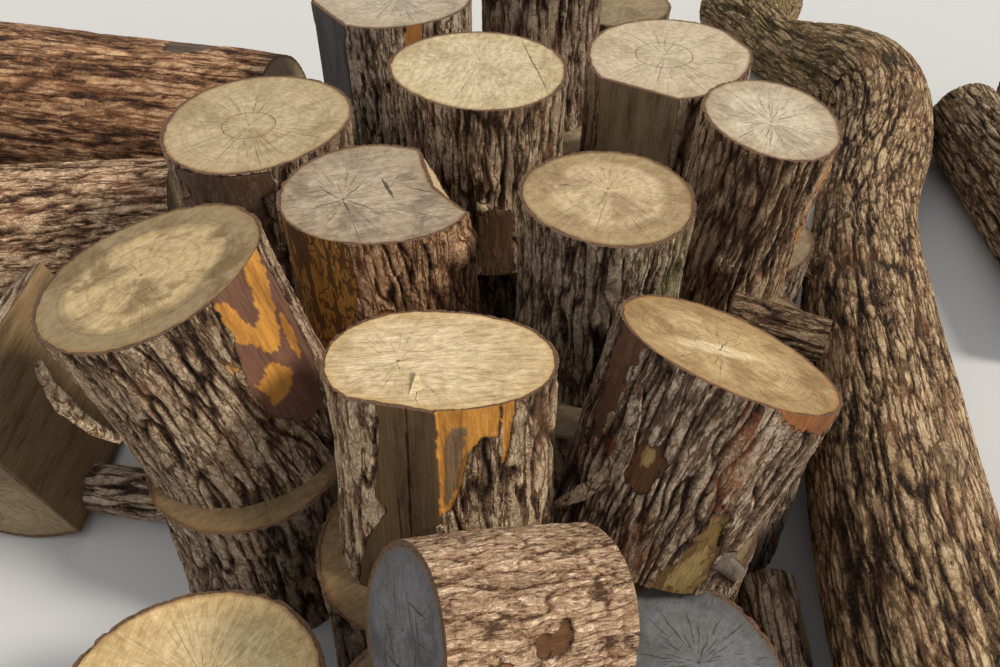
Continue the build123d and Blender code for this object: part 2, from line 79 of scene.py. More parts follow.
# What each log looks like. tint brightens or darkens it. A patch is bare wood, depth metres under the bark,
# with remains of inner bark on it, or it is a cover over the bark. Its outline has corners that each give a
# way in degrees from X and a share of the log's height. Without one, way is where it faces, wide its half
# width in degrees, low and high its share of the height. at is a place in metres and size a reach from it.
# flat is the way that a flat cut faces. warp is how uneven the edge is. A flap is loose bark: a line of ways,
# shares and metres off the log, how wide it is, and how far it stands on its edge.
logLooks = {
    "front_round": {
        "detail": "near", "top": "frontWood", "pith": (-0.065, -0.012), "tint": (1.10, 1.05, 0.98),
        "patches": (
            {"outline": ((235, 1.1), (235, 0.85), (229, 0.54), (235, 0.48), (222, 0.3), (212, -0.1),
                         (272, -0.1), (272, 1.1)), "colour": oliveFlat, "warp": 0.3},
            {"outline": ((271, 1.1), (309, 1.1), (308, 0.86), (296, 0.86), (290, 0.79), (285, 0.65),
                         (280, 0.54), (271, 0.50)), "colour": freshOrange, "depth": 0.006, "warp": 0.6},
            {"outline": ((276, 0.86), (281, 0.93), (289, 0.91), (286, 0.76), (280, 0.60), (275, 0.54)),
             "colour": (138, 112, 82), "depth": 0.005, "warp": 0.5},
            {"outline": ((310, 1.1), (317, 1.1), (314, 0.82), (310, 0.72)), "colour": freshOrange,
             "depth": 0.006, "warp": 0.6},
            # These two narrow patches are cracks, coloured as painted shade.
            {"outline": ((252.9, 1.05), (253.6, 1.05), (251.4, 0.62), (248.1, 0.1), (247.7, 0.1),
                         (250.9, 0.62)), "colour": sideCrackShade, "depth": 0.005, "warp": 0.2},
            {"outline": ((243.2, 0.55), (243.6, 0.55), (243.2, -0.1), (242.7, -0.1)),
             "colour": sideCrackShade, "depth": 0.003, "warp": 0.2},
        ),
        "flaps": (
            {"path": ((270, 0.46, 0.004), (276, 0.40, 0.016), (282, 0.33, 0.020), (285, 0.26, 0.006)),
             "wide": 0.020},
        )},
    "left_leaning_round": {
        "detail": "near", "top": "leftWood", "pith": (-0.010, -0.004), "tint": (0.98, 0.93, 0.88),
        "patches": (
            {"outline": ((362, 1.1), (366, 0.73), (364, 0.42), (350, 0.22), (330, 0.28), (318, 0.42),
                         (317, 0.60), (322, 0.77), (324, 1.1)), "colour": mauveBare, "depth": 0.006,
             "warp": 0.8},
            {"outline": ((360, 1.1), (361, 0.88), (351, 0.68), (342, 0.62), (333, 0.68), (324, 0.80),
                         (324, 0.97), (330, 0.96), (330, 0.86), (336, 0.77), (343, 0.80), (346, 0.92),
                         (350, 1.1)), "colour": freshOrange, "depth": 0.006, "warp": 1.2},
            {"outline": ((322, 0.55), (334, 0.60), (343, 0.49), (335, 0.43), (324, 0.44)),
             "colour": freshOrange, "depth": 0.006, "warp": 1.3},
            {"outline": ((352, 0.64), (356, 0.70), (360, 0.62), (357, 0.52), (353, 0.48)),
             "colour": freshOrange, "depth": 0.006, "warp": 1.2},
            {"outline": ((311, 0.73), (316, 0.74), (317, 0.68), (312, 0.67)), "colour": tanBare,
             "depth": 0.008, "warp": 1.0},
        ),
        "flaps": (
            {"path": ((209, 0.84, 0.026), (215, 0.75, 0.034), (222, 0.65, 0.036), (230, 0.54, 0.028),
                      (238, 0.43, 0.010)), "wide": 0.030, "stand": 0.85},
        )},
    "back_left_round": {
        "detail": "seen", "top": "backLeftWood", "pith": (-0.014, -0.022), "tint": (0.84, 0.80, 0.78),
        "patches": ({"way": 262, "wide": 24, "low": 0.35, "high": 1.1, "colour": (106, 84, 64), "warp": 2.0,
                     "remains": 0.9},)},
    "chipped_round": {
        "detail": "seen", "top": "chippedWood", "pith": (-0.043, -0.020), "tint": (1.16, 0.90, 0.72),
        "chipped": True,
        "patches": (
            {"outline": ((200, 1.1), (262, 1.1), (264, 0.70), (256, 0.40), (240, -0.1), (196, -0.1)),
             "colour": (202, 150, 76), "depth": 0.006, "warp": 1.0, "remains": 1.0},
            {"way": 281, "wide": 7, "low": 0.10, "high": 0.55, "colour": orangeBark, "warp": 1.2},
        )},
    "middle_back_round": {
        "detail": "seen", "top": "middleBackWood", "pith": (0.003, 0.043), "startBelow": 0.018,
        "tint": (1.0, 0.94, 0.88),
        "patches": (
            {"outline": ((267, 0.40), (276, 0.46), (294, 0.40), (291, -0.1), (269, -0.1)),
             "colour": brownBare, "warp": 2.0, "remains": 0.9},
            {"way": 272, "wide": 4.0, "low": 0.42, "high": 0.48, "colour": paleWood, "warp": 0.1},
        )},
    "middle_right_round": {
        "detail": "seen", "top": "middleRightWood", "pith": (0.002, 0.023), "tint": (0.88, 0.90, 0.89),
        "patches": ({"way": 318, "wide": 16, "low": 0.3, "high": 1.1, "colour": mossGreen, "cover": 0.5},)},
    "back_right_round": {
        "detail": "seen", "top": "backRightWood", "pith": (-0.014, -0.002), "tint": (0.93, 0.88, 0.84),
        "patches": ({"flat": 238, "colour": (142, 122, 92)}, {"flat": 20, "colour": (160, 140, 108)})},
    "right_round": {
        "detail": "seen", "top": "rightWood", "pith": (-0.009, -0.020), "tint": (0.98, 0.88, 0.80),
        "patches": (
            {"way": 235, "wide": 34, "low": 0.1, "high": 1.0, "colour": (98, 70, 50), "cover": 0.55,
             "warp": 1.5},
            {"way": 312, "wide": 5, "low": 0.5, "high": 1.1, "colour": (176, 122, 72), "depth": 0.004,
             "warp": 1.4},
        )},
    "front_right_leaning_round": {
        "detail": "near", "top": "leaningWood", "pith": (-0.021, -0.014), "tint": (0.83, 0.80, 0.80),
        "patches": (
            {"outline": ((268, -0.1), (271, 0.10), (276, 0.24), (281, 0.40), (281, 0.54), (288, 0.48),
                         (296, 0.36), (304, 0.18), (302, -0.1)), "colour": (132, 106, 62), "depth": 0.006,
             "warp": 1.8, "remains": 0.8},
            {"outline": ((279, 0.02), (284, 0.20), (290, 0.30), (297, 0.14), (294, 0.0)),
             "colour": (158, 134, 84), "depth": 0.006, "warp": 2.0},
            {"outline": ((270, 1.1), (336, 1.1), (332, 0.94), (318, 0.90), (300, 0.925), (284, 0.965)),
             "colour": (146, 96, 58), "depth": 0.004, "warp": 1.4},
            {"outline": ((186, 1.1), (209, 1.1), (205, 0.84), (204, 0.66), (200, 0.54), (190, 0.60)),
             "colour": (106, 74, 52), "depth": 0.004, "warp": 2.8, "remains": 1.0},
            {"outline": ((208, 0.56), (213, 0.60), (219, 0.54), (218, 0.44), (211, 0.43)),
             "colour": (132, 52, 30), "cover": 0.75, "warp": 1.2},
            {"outline": ((265, 0.99), (276, 0.97), (283, 0.72), (288, 0.48), (277, 0.48), (271, 0.74)),
             "colour": (136, 78, 44), "cover": 0.95, "warp": 2.0},
            {"outline": ((236, 0.02), (240, 0.26), (250, 0.34), (262, 0.22), (268, 0.02)),
             "colour": (130, 82, 50), "cover": 0.7, "warp": 2.6},
            {"outline": ((224, 0.66), (238, 0.68), (243, 0.54), (236, 0.42), (226, 0.48)),
             "colour": (104, 72, 48), "depth": 0.008, "warp": 2.2},
            {"outline": ((230, 0.62), (235, 0.63), (235, 0.55), (231, 0.54)), "colour": (170, 142, 92),
             "depth": 0.006, "warp": 1.2},
            {"way": 310, "wide": 7.5, "low": 0.155, "high": 0.265, "colour": (112, 103, 90), "warp": 0.1},
        ),
        "flaps": (
            {"path": ((215, 0.86, 0.004), (221, 0.72, 0.014), (223, 0.58, 0.016), (219, 0.44, 0.014),
                      (211, 0.30, 0.022), (200, 0.16, 0.034)), "wide": 0.030},
        )},
    "far_left_round": {
        "detail": "partSeen", "top": "greyWood",
        "patches": (
            {"way": 292, "wide": 8, "low": 0.55, "high": 1.1, "colour": (166, 112, 62), "depth": 0.006,
             "warp": 1.0},
            {"flat": 215, "colour": (90, 87, 84)},
        )},
    "far_right_round": {"detail": "partSeen", "tint": (0.78, 0.74, 0.72)},
    "front_left_ground_round": {"detail": "partSeen", "top": "brightWood", "pith": (0.02, 0.03)},
    # The darker tan top of these two bases is painted shade.
    "left_leaning_base": {"detail": "partSeen", "top": "shadedTanWood"},
    "front_round_base": {"detail": "partSeen", "top": "shadedTanWood"},
    # The dark blue-grey tops of the prop and the front right base are painted shade.
    "leaning_round_prop": {"detail": "partSeen", "top": "shadedBlueGreyWood", "tint": (0.78, 0.77, 0.80)},
    "right_base": {"detail": "partSeen"},
    "front_right_base": {"detail": "partSeen", "top": "shadedBlueGreyWood", "tint": (0.78, 0.74, 0.72)},
    "front_lying_log": {
        "detail": "near", "bark": "flaky", "foot": "dullWood", "top": "frontLogEnd",
        "tint": (1.08, 1.0, 0.92),
        "patches": (
            {"at": (0.488, -1.657, 0.689), "size": 0.026, "colour": (108, 74, 46), "depth": 0.010,
             "warp": 2.6, "remains": 0.8},
            {"at": (0.617, -1.604, 0.628), "size": 0.020, "colour": paleWood, "depth": 0.002, "warp": 0.9},
            {"at": (0.330, -1.640, 0.760), "size": 0.012, "colour": (136, 84, 52), "depth": 0.004,
             "warp": 2.4},
            {"at": (0.400, -1.690, 0.700), "size": 0.012, "colour": (128, 82, 52), "depth": 0.003,
             "warp": 2.4},
        )},
    "big_lying_log": {
        "detail": "longLog", "bark": "streaked", "tint": (1.06, 0.92, 0.79),
        "patches": ({"at": (-0.612, 0.472, 0.555), "size": 0.075, "colour": (98, 84, 70), "depth": 0.006},)},
    "lower_lying_log": {"detail": "longLog", "bark": "furrowed", "tint": (1.34, 1.18, 1.06)},
    "bent_trunk": {
        "detail": "trunk", "bark": "blocky", "tint": (1.0, 0.95, 0.87),
        "patches": (
            {"at": (1.60, 1.30, 0.28), "size": 0.55, "colour": (112, 104, 62), "cover": 0.45},
            {"at": (1.818, 0.519, 0.351), "size": 0.055, "colour": (112, 90, 66), "cover": 0.8, "warp": 0.6},
            {"at": (1.356, -0.435, 0.344), "size": 0.050, "colour": (104, 84, 62), "cover": 0.8, "warp": 0.6},
            {"at": (1.319, -1.102, 0.370), "size": 0.045, "colour": (104, 84, 62), "cover": 0.8, "warp": 0.6},
        )},
    "second_trunk": {"detail": "partSeen", "bark": "blocky", "tint": (0.80, 0.80, 0.76)},
    "dark_log": {"detail": "partSeen", "bark": "blocky", "tint": (0.56, 0.53, 0.52)},
    "half_log": {"detail": "partSeen", "patches": ({"flat": 0, "colour": (142, 118, 84)},)},
    # This log's dark tint is painted shade over its bark.
    "orange_end_log": {"top": "orangeEnd", "foot": "orangeEnd", "tint": (0.62, 0.52, 0.44)},
}

# Relief of each kind of bark in metres: how wide and long its ridges are, how deep and how wide the furrows,
# how far they wander, how far apart the breaks across a ridge are, and how deep these go.
barkKinds = {
    "furrowed": {"width": 0.0190, "length": 0.170, "depth": 0.0095, "furrow": 0.32, "wander": 0.9,
                 "cross": 0.060, "gap": 0.18},
    "blocky": {"width": 0.0190, "length": 0.250, "depth": 0.0095, "furrow": 0.28, "wander": 0.7,
               "cross": 0.055, "gap": 0.28},
    "streaked": {"width": 0.0280, "length": 0.300, "depth": 0.0070, "furrow": 0.26, "wander": 1.2,
                 "cross": 0.090, "gap": 0.40},
    "flaky": {"width": 0.0200, "length": 0.100, "depth": 0.0040, "furrow": 0.18, "wander": 1.2,
              "cross": 0.038, "gap": 0.50},
}
# What every bark has, in metres: how far it may rise over the wood's own shape, how rough it is, how much the
# log swells, and how far along the log its furrows jog.
barkShape = {"rise": 0.002, "rough": 0.0014, "swell": 0.003, "jog": 0.055}
# A log is upright where its axis or its end rises more than this for each metre.
uprightFrom = 0.6
# Large numbers that scatter whole places into random ones.
hashPrimes = (73856093, 19349663, 83492791)
hashFactor = 1274126177
hashMask = 0xFFFFFF


# A repeatable random number from 0 to 1 for each whole place.
def hashed(x, y, seed):
    forX, forY, forSeed = hashPrimes
    mixed = (x.astype(np.int64) * forX) ^ (y.astype(np.int64) * forY) ^ (seed * forSeed)
    mixed = (mixed ^ (mixed >> 13)) * hashFactor
    return ((mixed ^ (mixed >> 16)) & hashMask) / float(hashMask)


# Smooth noise from -1 to 1 that closes round the log: u is 0 to 1 around, v counts cells along.
def waves(u, v, cells, seed):
    cells = max(3, int(round(cells)))
    x = u * cells
    x0, y0 = np.floor(x), np.floor(v)
    fx, fy = x - x0, v - y0
    fx, fy = fx * fx * (3 - 2 * fx), fy * fy * (3 - 2 * fy)
    corner = [hashed((x0 + i) % cells, y0 + j, seed) for j in (0, 1) for i in (0, 1)]
    low = corner[0] + (corner[1] - corner[0]) * fx
    high = corner[2] + (corner[3] - corner[2]) * fx
    return (low + (high - low) * fy) * 2 - 1


# Distances to the nearest and second-nearest plate centres, and a random number for the plate.
def plates(u, v, cells, seed):
    cells = max(3, int(round(cells)))
    x = u * cells
    x0, y0 = np.floor(x), np.floor(v)
    first = np.full(u.shape, 9.0)
    second = np.full(u.shape, 9.0)
    number = np.zeros(u.shape)
    for i in (-1, 0, 1):
        for j in (-1, 0, 1):
            cx, cy = x0 + i, y0 + j
            wrapped = cx % cells
            px = cx + 0.12 + 0.76 * hashed(wrapped, cy, seed)
            py = cy + 0.08 + 0.84 * hashed(wrapped, cy, seed + 7)
            away = np.hypot(px - x, py - v)
            nearer = away < first
            second = np.where(nearer, first, np.minimum(second, away))
            number = np.where(nearer, hashed(wrapped, cy, seed + 13), number)
            first = np.where(nearer, away, first)
    return first, second, number


def smooth(low, high, x):
    t = np.clip((x - low) / (high - low), 0, 1)
    return t * t * (3 - 2 * t)


# Height of the bark at each point in metres, and how far up its ridges it is, from 0 to 1.
def barkRelief(kind, u, v, girth, seed):
    size = barkKinds[kind]
    cells = girth / size["width"]
    drift = waves(u, v / (size["length"] * 1.6), cells / 6, seed + 1)
    jog = waves(u, v / barkShape["jog"], cells / 1.8, seed + 2)
    moved = (u + (size["wander"] * drift + 0.32 * jog) / cells) % 1
    line = waves(moved, v / size["length"], cells, seed + 3)
    line = line + 0.45 * waves(moved, v / (size["length"] * 0.4), cells * 1.9, seed + 4)
    furrow = smooth(0.0, size["furrow"], np.abs(line))
    first, second, number = plates(moved, v / size["cross"] + 0.6 * drift, cells * 0.55, seed + 5)
    broken = smooth(0.0, 0.16, second - first)
    up = furrow * (1 - size["gap"] * (1 - broken)) * (0.78 + 0.22 * number)
    fine = waves(u, v / 0.010, girth / 0.008, seed + 8)
    rough = fine * 0.5 + waves(u, v / 0.03, girth / 0.012, seed + 9) * 0.5
    height = (up - 1) * size["depth"] + rough * barkShape["rough"]
    swell = barkShape["swell"] * waves(u, v / 0.25, 4, seed + 10)
    return np.minimum(height + swell, barkShape["rise"]), np.clip(up + 0.12 * rough, 0, 1)


# How flats are found: the smallest face that counts, in square metres, how nearly one way and one plane two
# faces of a flat lie, how many of the largest are looked through, and how nearly opposite two sawn ends face.
flatSearch = {"smallest": 1e-9, "sameWay": 0.999, "samePlane": 0.003, "largest": 12, "opposite": -0.8}


# The flat faces of a CAD log, largest first: area, centre and outward normal.
def flatFaces(node):
    flats = {}
    for face in node.data.polygons:
        if face.area < flatSearch["smallest"]:
            continue
        normal = face.normal
        key = (round(normal.x, 2), round(normal.y, 2), round(normal.z, 2), round(face.center.dot(normal), 3))
        flats.setdefault(key, []).append(face)
    merged = []
    for faces in sorted(flats.values(), key=lambda group: -sum(face.area for face in group)):
        area = sum(face.area for face in faces)
        centre = sum((face.center * face.area for face in faces), Vector()) / area
        normal = faces[0].normal.copy()
        for known in merged[:flatSearch["largest"]]:
            apart = abs((centre - known["centre"]).dot(normal))
            if known["normal"].dot(normal) > flatSearch["sameWay"] and apart < flatSearch["samePlane"]:
                total = known["area"] + area
                known["centre"] = (known["centre"] * known["area"] + centre * area) / total
                known["area"] = total
                break
        else:
            merged.append({"area": area, "centre": centre, "normal": normal})
    return sorted(merged, key=lambda flat: -flat["area"])


# The two sawn ends are the largest flats that face away from each other.
def sawnEnds(flats):
    best = None
    largest = flats[:flatSearch["largest"]]
    for one in largest:
        for other in largest:
            if one["normal"].dot(other["normal"]) < flatSearch["opposite"]:
                size = min(one["area"], other["area"])
                if best is None or size > best[0]:
                    best = (size, one, other)
    return sorted(best[1:], key=lambda flat: (round(flat["centre"].z, 2), flat["centre"].x))


# Two directions square to a log's axis, the first of them as near as can be to a given one.
def squareTo(direction, near):
    side = near - direction * near.dot(direction)
    side.normalize()
    return side, direction.cross(side)


# How the middle line of a log is found, in metres: how far it looks for the log's side, how many ways round
# it looks, how many points a straight log's line has, and the stride and the most points of a bent one's.
axisSearch = {"reach": 1.0, "ways": 12, "straight": 9, "stride": 0.12, "most": 60}


# The middle of a bent log's section, square to its heading.
def sectionMiddle(tree, inside, heading):
    side, up = squareTo(heading, Vector((0, 0, 1)))
    middles = []
    for turn in np.linspace(0, math.pi, axisSearch["ways"], endpoint=False):
        ray = side * math.cos(turn) + up * math.sin(turn)
        ahead, behind = (tree.ray_cast(inside, way, axisSearch["reach"])[0] for way in (ray, -ray))
        if ahead is not None and behind is not None:
            middles.append((ahead + behind) / 2)
    return sum(middles, Vector()) / len(middles) if middles else inside


# Points along the middle of a log, from its foot to its top.
def findAxis(tree, foot, top, bent):
    if not bent:
        return [foot["centre"].lerp(top["centre"], share)
                for share in np.linspace(0, 1, axisSearch["straight"])]
    points = [foot["centre"]]
    heading = -foot["normal"]
    stride = axisSearch["stride"]
    while (points[-1] - top["centre"]).length > stride * 1.4 and len(points) < axisSearch["most"]:
        middle = sectionMiddle(tree, points[-1] + heading * stride, heading)
        heading = (middle - points[-1]).normalized()
        points.append(middle)
    points.append(top["centre"])
    return points


# Evenly spaced places and directions on a smooth line through the axis points.
def alongAxis(points, count):
    line = np.array([tuple(point) for point in points])
    for _ in range(3):
        line[1:-1] = 0.25 * line[:-2] + 0.5 * line[1:-1] + 0.25 * line[2:]
    steps = np.r_[0, np.cumsum(np.linalg.norm(np.diff(line, axis=0), axis=1))]
    shares = np.linspace(0, steps[-1], count)
    places = np.stack([np.interp(shares, steps, line[:, axis]) for axis in range(3)], axis=1)
    slopes = np.gradient(places, axis=0)
    slopes /= np.linalg.norm(slopes, axis=1)[:, None]
    return places, slopes, steps[-1]


# How the grid turns into the plane of each end of a bent log, as metres and as the largest share of its
# length, how far above its foot the first row is taken, and how far out a point is where no side is found, in
# metres.
gridShape = {"blend": 0.3, "mostBlend": 0.25, "aboveFoot": 0.002, "noSide": 0.1}


# Wraps an even grid of points over a CAD log's side.
def logGrid(node, look):
    detail = meshDetail[look["detail"]]
    around, along = detail["around"], detail["along"]
    tree = BVHTree.FromPolygons([vertex.co for vertex in node.data.vertices],
                                [tuple(face.vertices) for face in node.data.polygons])
    flats = flatFaces(node)
    foot, top = sawnEnds(flats)
    bent = look["detail"] == "trunk"
    places, slopes, length = alongAxis(findAxis(tree, foot, top, bent), along)
    footNormal, topNormal = -foot["normal"], top["normal"]
    grid = np.zeros((along, around, 3))
    local = np.zeros((along, around, 3))
    blendReach = min(gridShape["mostBlend"], gridShape["blend"] / length)
    upright = abs(slopes[0][2]) > uprightFrom
    near = Vector((1, 0, 0)) if upright else Vector((0, 0, -1))
    turns = np.linspace(0, 2 * math.pi, around, endpoint=False)
    for row in range(along):
        share = row / (along - 1)
        centre = Vector(places[row])
        heading = Vector(slopes[row]).normalized()
        toFoot = max(0.0, 1 - share / blendReach) if bent else 1 - share
        toTop = max(0.0, 1 - (1 - share) / blendReach) if bent else share
        normal = (heading * max(0.0, 1 - toFoot - toTop) + footNormal * toFoot
                  + topNormal * toTop).normalized()
        side, up = squareTo(normal, near)
        toEnd = (1 - share) * length
        inside = centre - normal * max(0.0, look["startBelow"] - toEnd)
        if row == 0:
            inside = centre + normal * gridShape["aboveFoot"]
        for column, turn in enumerate(turns):
            ray = side * math.cos(turn) + up * math.sin(turn)
            hit = tree.ray_cast(inside, ray, axisSearch["reach"])[0]
            reach = (hit - inside).length if hit is not None else gridShape["noSide"]
            grid[row, column] = centre + ray * reach
            local[row, column] = (reach * math.cos(turn), reach * math.sin(turn), share * length)
    return {"grid": grid, "local": local, "length": length, "flats": flats, "ways": np.degrees(turns),
            "footNormal": footNormal, "topNormal": topNormal, "topMiddle": top["centre"]}


# Outward direction at each point of a closed grid.
def gridNormals(grid):
    stepAround = np.roll(grid, -1, axis=1) - np.roll(grid, 1, axis=1)
    normal = np.cross(stepAround, np.gradient(grid, axis=0))
    return normal / np.maximum(np.linalg.norm(normal, axis=2), 1e-9)[:, :, None]


# How many metres inside an outline on a log's side each point is; below zero is outside.
def insideOutline(outline, ways, v, length, radius):
    middle = sum(way for way, share in outline) / len(outline)
    x = np.tile(np.radians((ways - middle + 180) % 360 - 180) * radius, (v.shape[0], 1))
    corners = [(math.radians(way - middle) * radius, share * length) for way, share in outline]
    nearest, inside = np.full(v.shape, 9.0), np.zeros(v.shape, dtype=bool)
    for (x1, y1), (x2, y2) in zip(corners, corners[1:] + corners[:1]):
        runX, runY = x2 - x1, y2 - y1
        share = np.clip(((x - x1) * runX + (v - y1) * runY) / (runX ** 2 + runY ** 2), 0, 1)
        nearest = np.minimum(nearest, np.hypot(x - x1 - share * runX, v - y1 - share * runY))
        if runY:
            inside ^= ((y1 > v) != (y2 > v)) & (x < x1 + (v - y1) / runY * runX)
    return np.where(inside, nearest, -nearest)


# How a patch finds its flat: how many of the largest are looked through, how nearly one faces the patch's
# way, and how far under it, in metres, the patch fades out.
patchFlat = {"largest": 14, "sameWay": 0.93, "fade": (0.0005, 0.0020)}


# How far inside a patch each point of a log's side is: above a half is inside.
def patchField(patch, data, u, v, girth, seed):
    grid = data["grid"]
    if "flat" in patch:
        way = math.radians(patch["flat"])
        facing = Vector((math.cos(way), math.sin(way), 0))
        near = [flat for flat in data["flats"][:patchFlat["largest"]]
                if flat["normal"].dot(facing) > patchFlat["sameWay"]]
        flat = max(near, key=lambda flat: flat["area"])
        below = np.abs((grid - np.array(flat["centre"])) @ np.array(flat["normal"]))
        return 1 - smooth(*patchFlat["fade"], below)
    warp = 0.6 * waves(u, v / 0.05, 16, seed) + 0.4 * waves(u, v / 0.018, 44, seed + 1)
    if "outline" in patch:
        deep = insideOutline(patch["outline"], data["ways"], v, data["length"], girth / 2 / math.pi)
        ragged = 0.6 * warp + 0.4 * waves(u, v / 0.012, girth / 0.006, seed + 2)
        return np.clip(0.5 + (deep + 0.011 * patch.get("warp", 0.5) * ragged) / 0.010, 0, 1)
    if "at" in patch:
        depth = 1 - np.linalg.norm(grid - np.array(patch["at"]), axis=2) / patch["size"]
    else:
        turned = (data["ways"] - patch["way"] + 180) % 360 - 180
        across = np.abs(turned / patch["wide"])[None, :]
        middle, half = (patch["low"] + patch["high"]) / 2, (patch["high"] - patch["low"]) / 2
        up = np.abs((v / data["length"] - middle) / half)
        depth = 1 - (across ** 3 + up ** 3) ** (1 / 3)
    return np.clip(0.5 + 1.6 * (depth + 0.5 * patch.get("warp", 0.5) * warp), 0, 1)


# A colour as seen on a screen, 0 to 255, as the light it stands for.
def linear(colour):
    return tuple(((part / 255 + 0.055) / 1.055) ** 2.4 if part > 10 else part / 255 / 12.92
                 for part in colour)


# Bark height and skin of a log's side. The skin holds the ridge, the bare share and the cover share.
def logSkin(look, data, girth):
    local = data["local"]
    along, around = local.shape[:2]
    u = np.tile(np.linspace(0, 1, around, endpoint=False), (along, 1))
    v = local[:, :, 2]
    seed = look["seed"] * 31
    height, up = barkRelief(look["bark"], u, v, girth, seed)
    toEnd = np.minimum(v, data["length"] - v)
    height = height * (0.5 + 0.5 * smooth(0.0, 0.025, toEnd))
    bare, cover = np.zeros(u.shape), np.zeros(u.shape)
    colour = np.zeros((*u.shape, 3))
    for number, patch in enumerate(look["patches"]):
        field = patchField(patch, data, u, v, girth, seed + 50 + number)
        inside = smooth(0.35, 0.65, field)
        colour = np.where((field > 0.4)[:, :, None], np.array(linear(patch["colour"])), colour)
        if "cover" in patch:
            cover = np.maximum(cover, field * patch["cover"])
            continue
        bare = np.maximum(bare, field)
        cover = np.where(field > 0.5, patch.get("remains", 0.0), cover)
        grain = 0.0006 * waves(u, v / 0.12, girth / 0.008, seed + 70)
        if "flat" in patch:
            grain = grain * 0.3
        height = height * (1 - inside) + (grain - patch.get("depth", 0.0)) * inside
    if look["chipped"]:
        reach = np.hypot(local[:, :, 0], local[:, :, 1])
        whole = reach[int(along * 0.35)][None, :]
        broken = smooth(0.03, 0.06, 1 - reach / whole) * (v > data["length"] * 0.5)
        broken = broken * (np.cos(np.radians(data["ways"] - 10)) > 0.4)[None, :]
        splinters = 0.0018 * waves(u, v / 0.09, girth / 0.007, seed + 80)
        height = height * (1 - broken) + splinters * broken
        bare = np.maximum(bare, broken)
        colour = np.where((broken > 0.2)[:, :, None], np.array(linear(paleWood)), colour)
    return height, np.stack([up, bare, cover], axis=2), colour


# Gathers a log's points and faces, with what its materials read at each point.
class LogParts:
    def __init__(self):
        self.points, self.faces, self.materials, self.rounded = [], [], [], []
        self.read = {name: [] for name in ("place", "inset", "skin", "patchColour", "tint")}
        self.count = 0

    def addPoints(self, points, **read):
        for name, values in self.read.items():
            shape = (len(points),) if name == "inset" else (len(points), 3)
            values.append(np.broadcast_to(read.get(name, 0.0), shape))
        self.points.append(points)
        self.count += len(points)
        return np.arange(self.count - len(points), self.count)

    def addFace(self, corners, material, rounded=True):
        self.faces.append(tuple(corners))
        self.materials.append(material)
        self.rounded.append(rounded)

    # Faces between two rings of points.
    def bridge(self, inner, outer, material, turned):
        for column in range(len(inner)):
            nextColumn = (column + 1) % len(inner)
            quad = (inner[column], outer[column], outer[nextColumn], inner[nextColumn])
            self.addFace(quad[::-1] if turned else quad, material)

    def makeMesh(self, name):
        mesh = bpy.data.meshes.new(name)
        mesh.from_pydata(np.concatenate(self.points), [], self.faces)
        mesh.polygons.foreach_set("material_index", np.array(self.materials, dtype=np.int32))
        mesh.polygons.foreach_set("use_smooth", np.array(self.rounded))
        for label, blocks in self.read.items():
            values = np.concatenate(blocks)
            attribute = mesh.attributes.new(label, "FLOAT_VECTOR" if values.ndim == 2 else "FLOAT", "POINT")
            field = "vector" if values.ndim == 2 else "value"
            attribute.data.foreach_set(field, np.ascontiguousarray(values, dtype=np.float32).reshape(-1))
        mesh.update()
        return mesh


# The order of the materials on every log.
barkPart, topPart, footPart = 0, 1, 2


# Adds a sawn end as rings of points from the pith to the rim.
def addSawnEnd(parts, look, plain, rim, facing, end):
    flat = Vector(facing)
    upright = abs(flat.z) > uprightFrom
    side, other = squareTo(flat, Vector((1, 0, 0.01)) if upright else Vector((0, 0, 1)))
    side, other = np.array(side), np.array(other)
    offset = look["pith"] if end == topPart or not upright else (0.0, 0.0)
    pith = plain.mean(axis=0) + offset[0] * side + offset[1] * other
    plainReach = np.linalg.norm(plain - pith, axis=1)
    rings = []
    for share in endShares:
        ring = pith + (rim - pith) * share
        away = ring - pith
        place = np.stack([away @ side, away @ other, np.full(len(ring), float(end))], axis=1)
        inset = plainReach - np.linalg.norm(away, axis=1)
        rings.append(parts.addPoints(ring, place=place, inset=inset, tint=look["tint"]))
    heart = parts.addPoints(pith[None, :], place=(0.0, 0.0, float(end)), inset=plainReach.mean(),
                            tint=look["tint"])[0]
    first = rings[0]
    for column in range(len(first)):
        triangle = (heart, first[column], first[(column + 1) % len(first)])
        parts.addFace(triangle if end == topPart else triangle[::-1], end)
    for inner, outer in zip(rings[:-1], rings[1:]):
        parts.bridge(inner, outer, end, end == footPart)


# A strip of loose bark: how many steps long it is, half its thickness, how far its edges curl, how its width
# swells and wavers, how far up a ridge its colour is and how much paler. Lengths are in metres.
flapShape = {
    "steps": 26, "thick": 0.0028, "curls": ((-1, 0.006), (-0.5, 0.001), (0.5, 0.0), (1, 0.005)),
    "narrowest": 0.35, "wavers": ((0.12, 17), (0.08, 41)), "ridge": 0.85, "paler": 1.25,
}


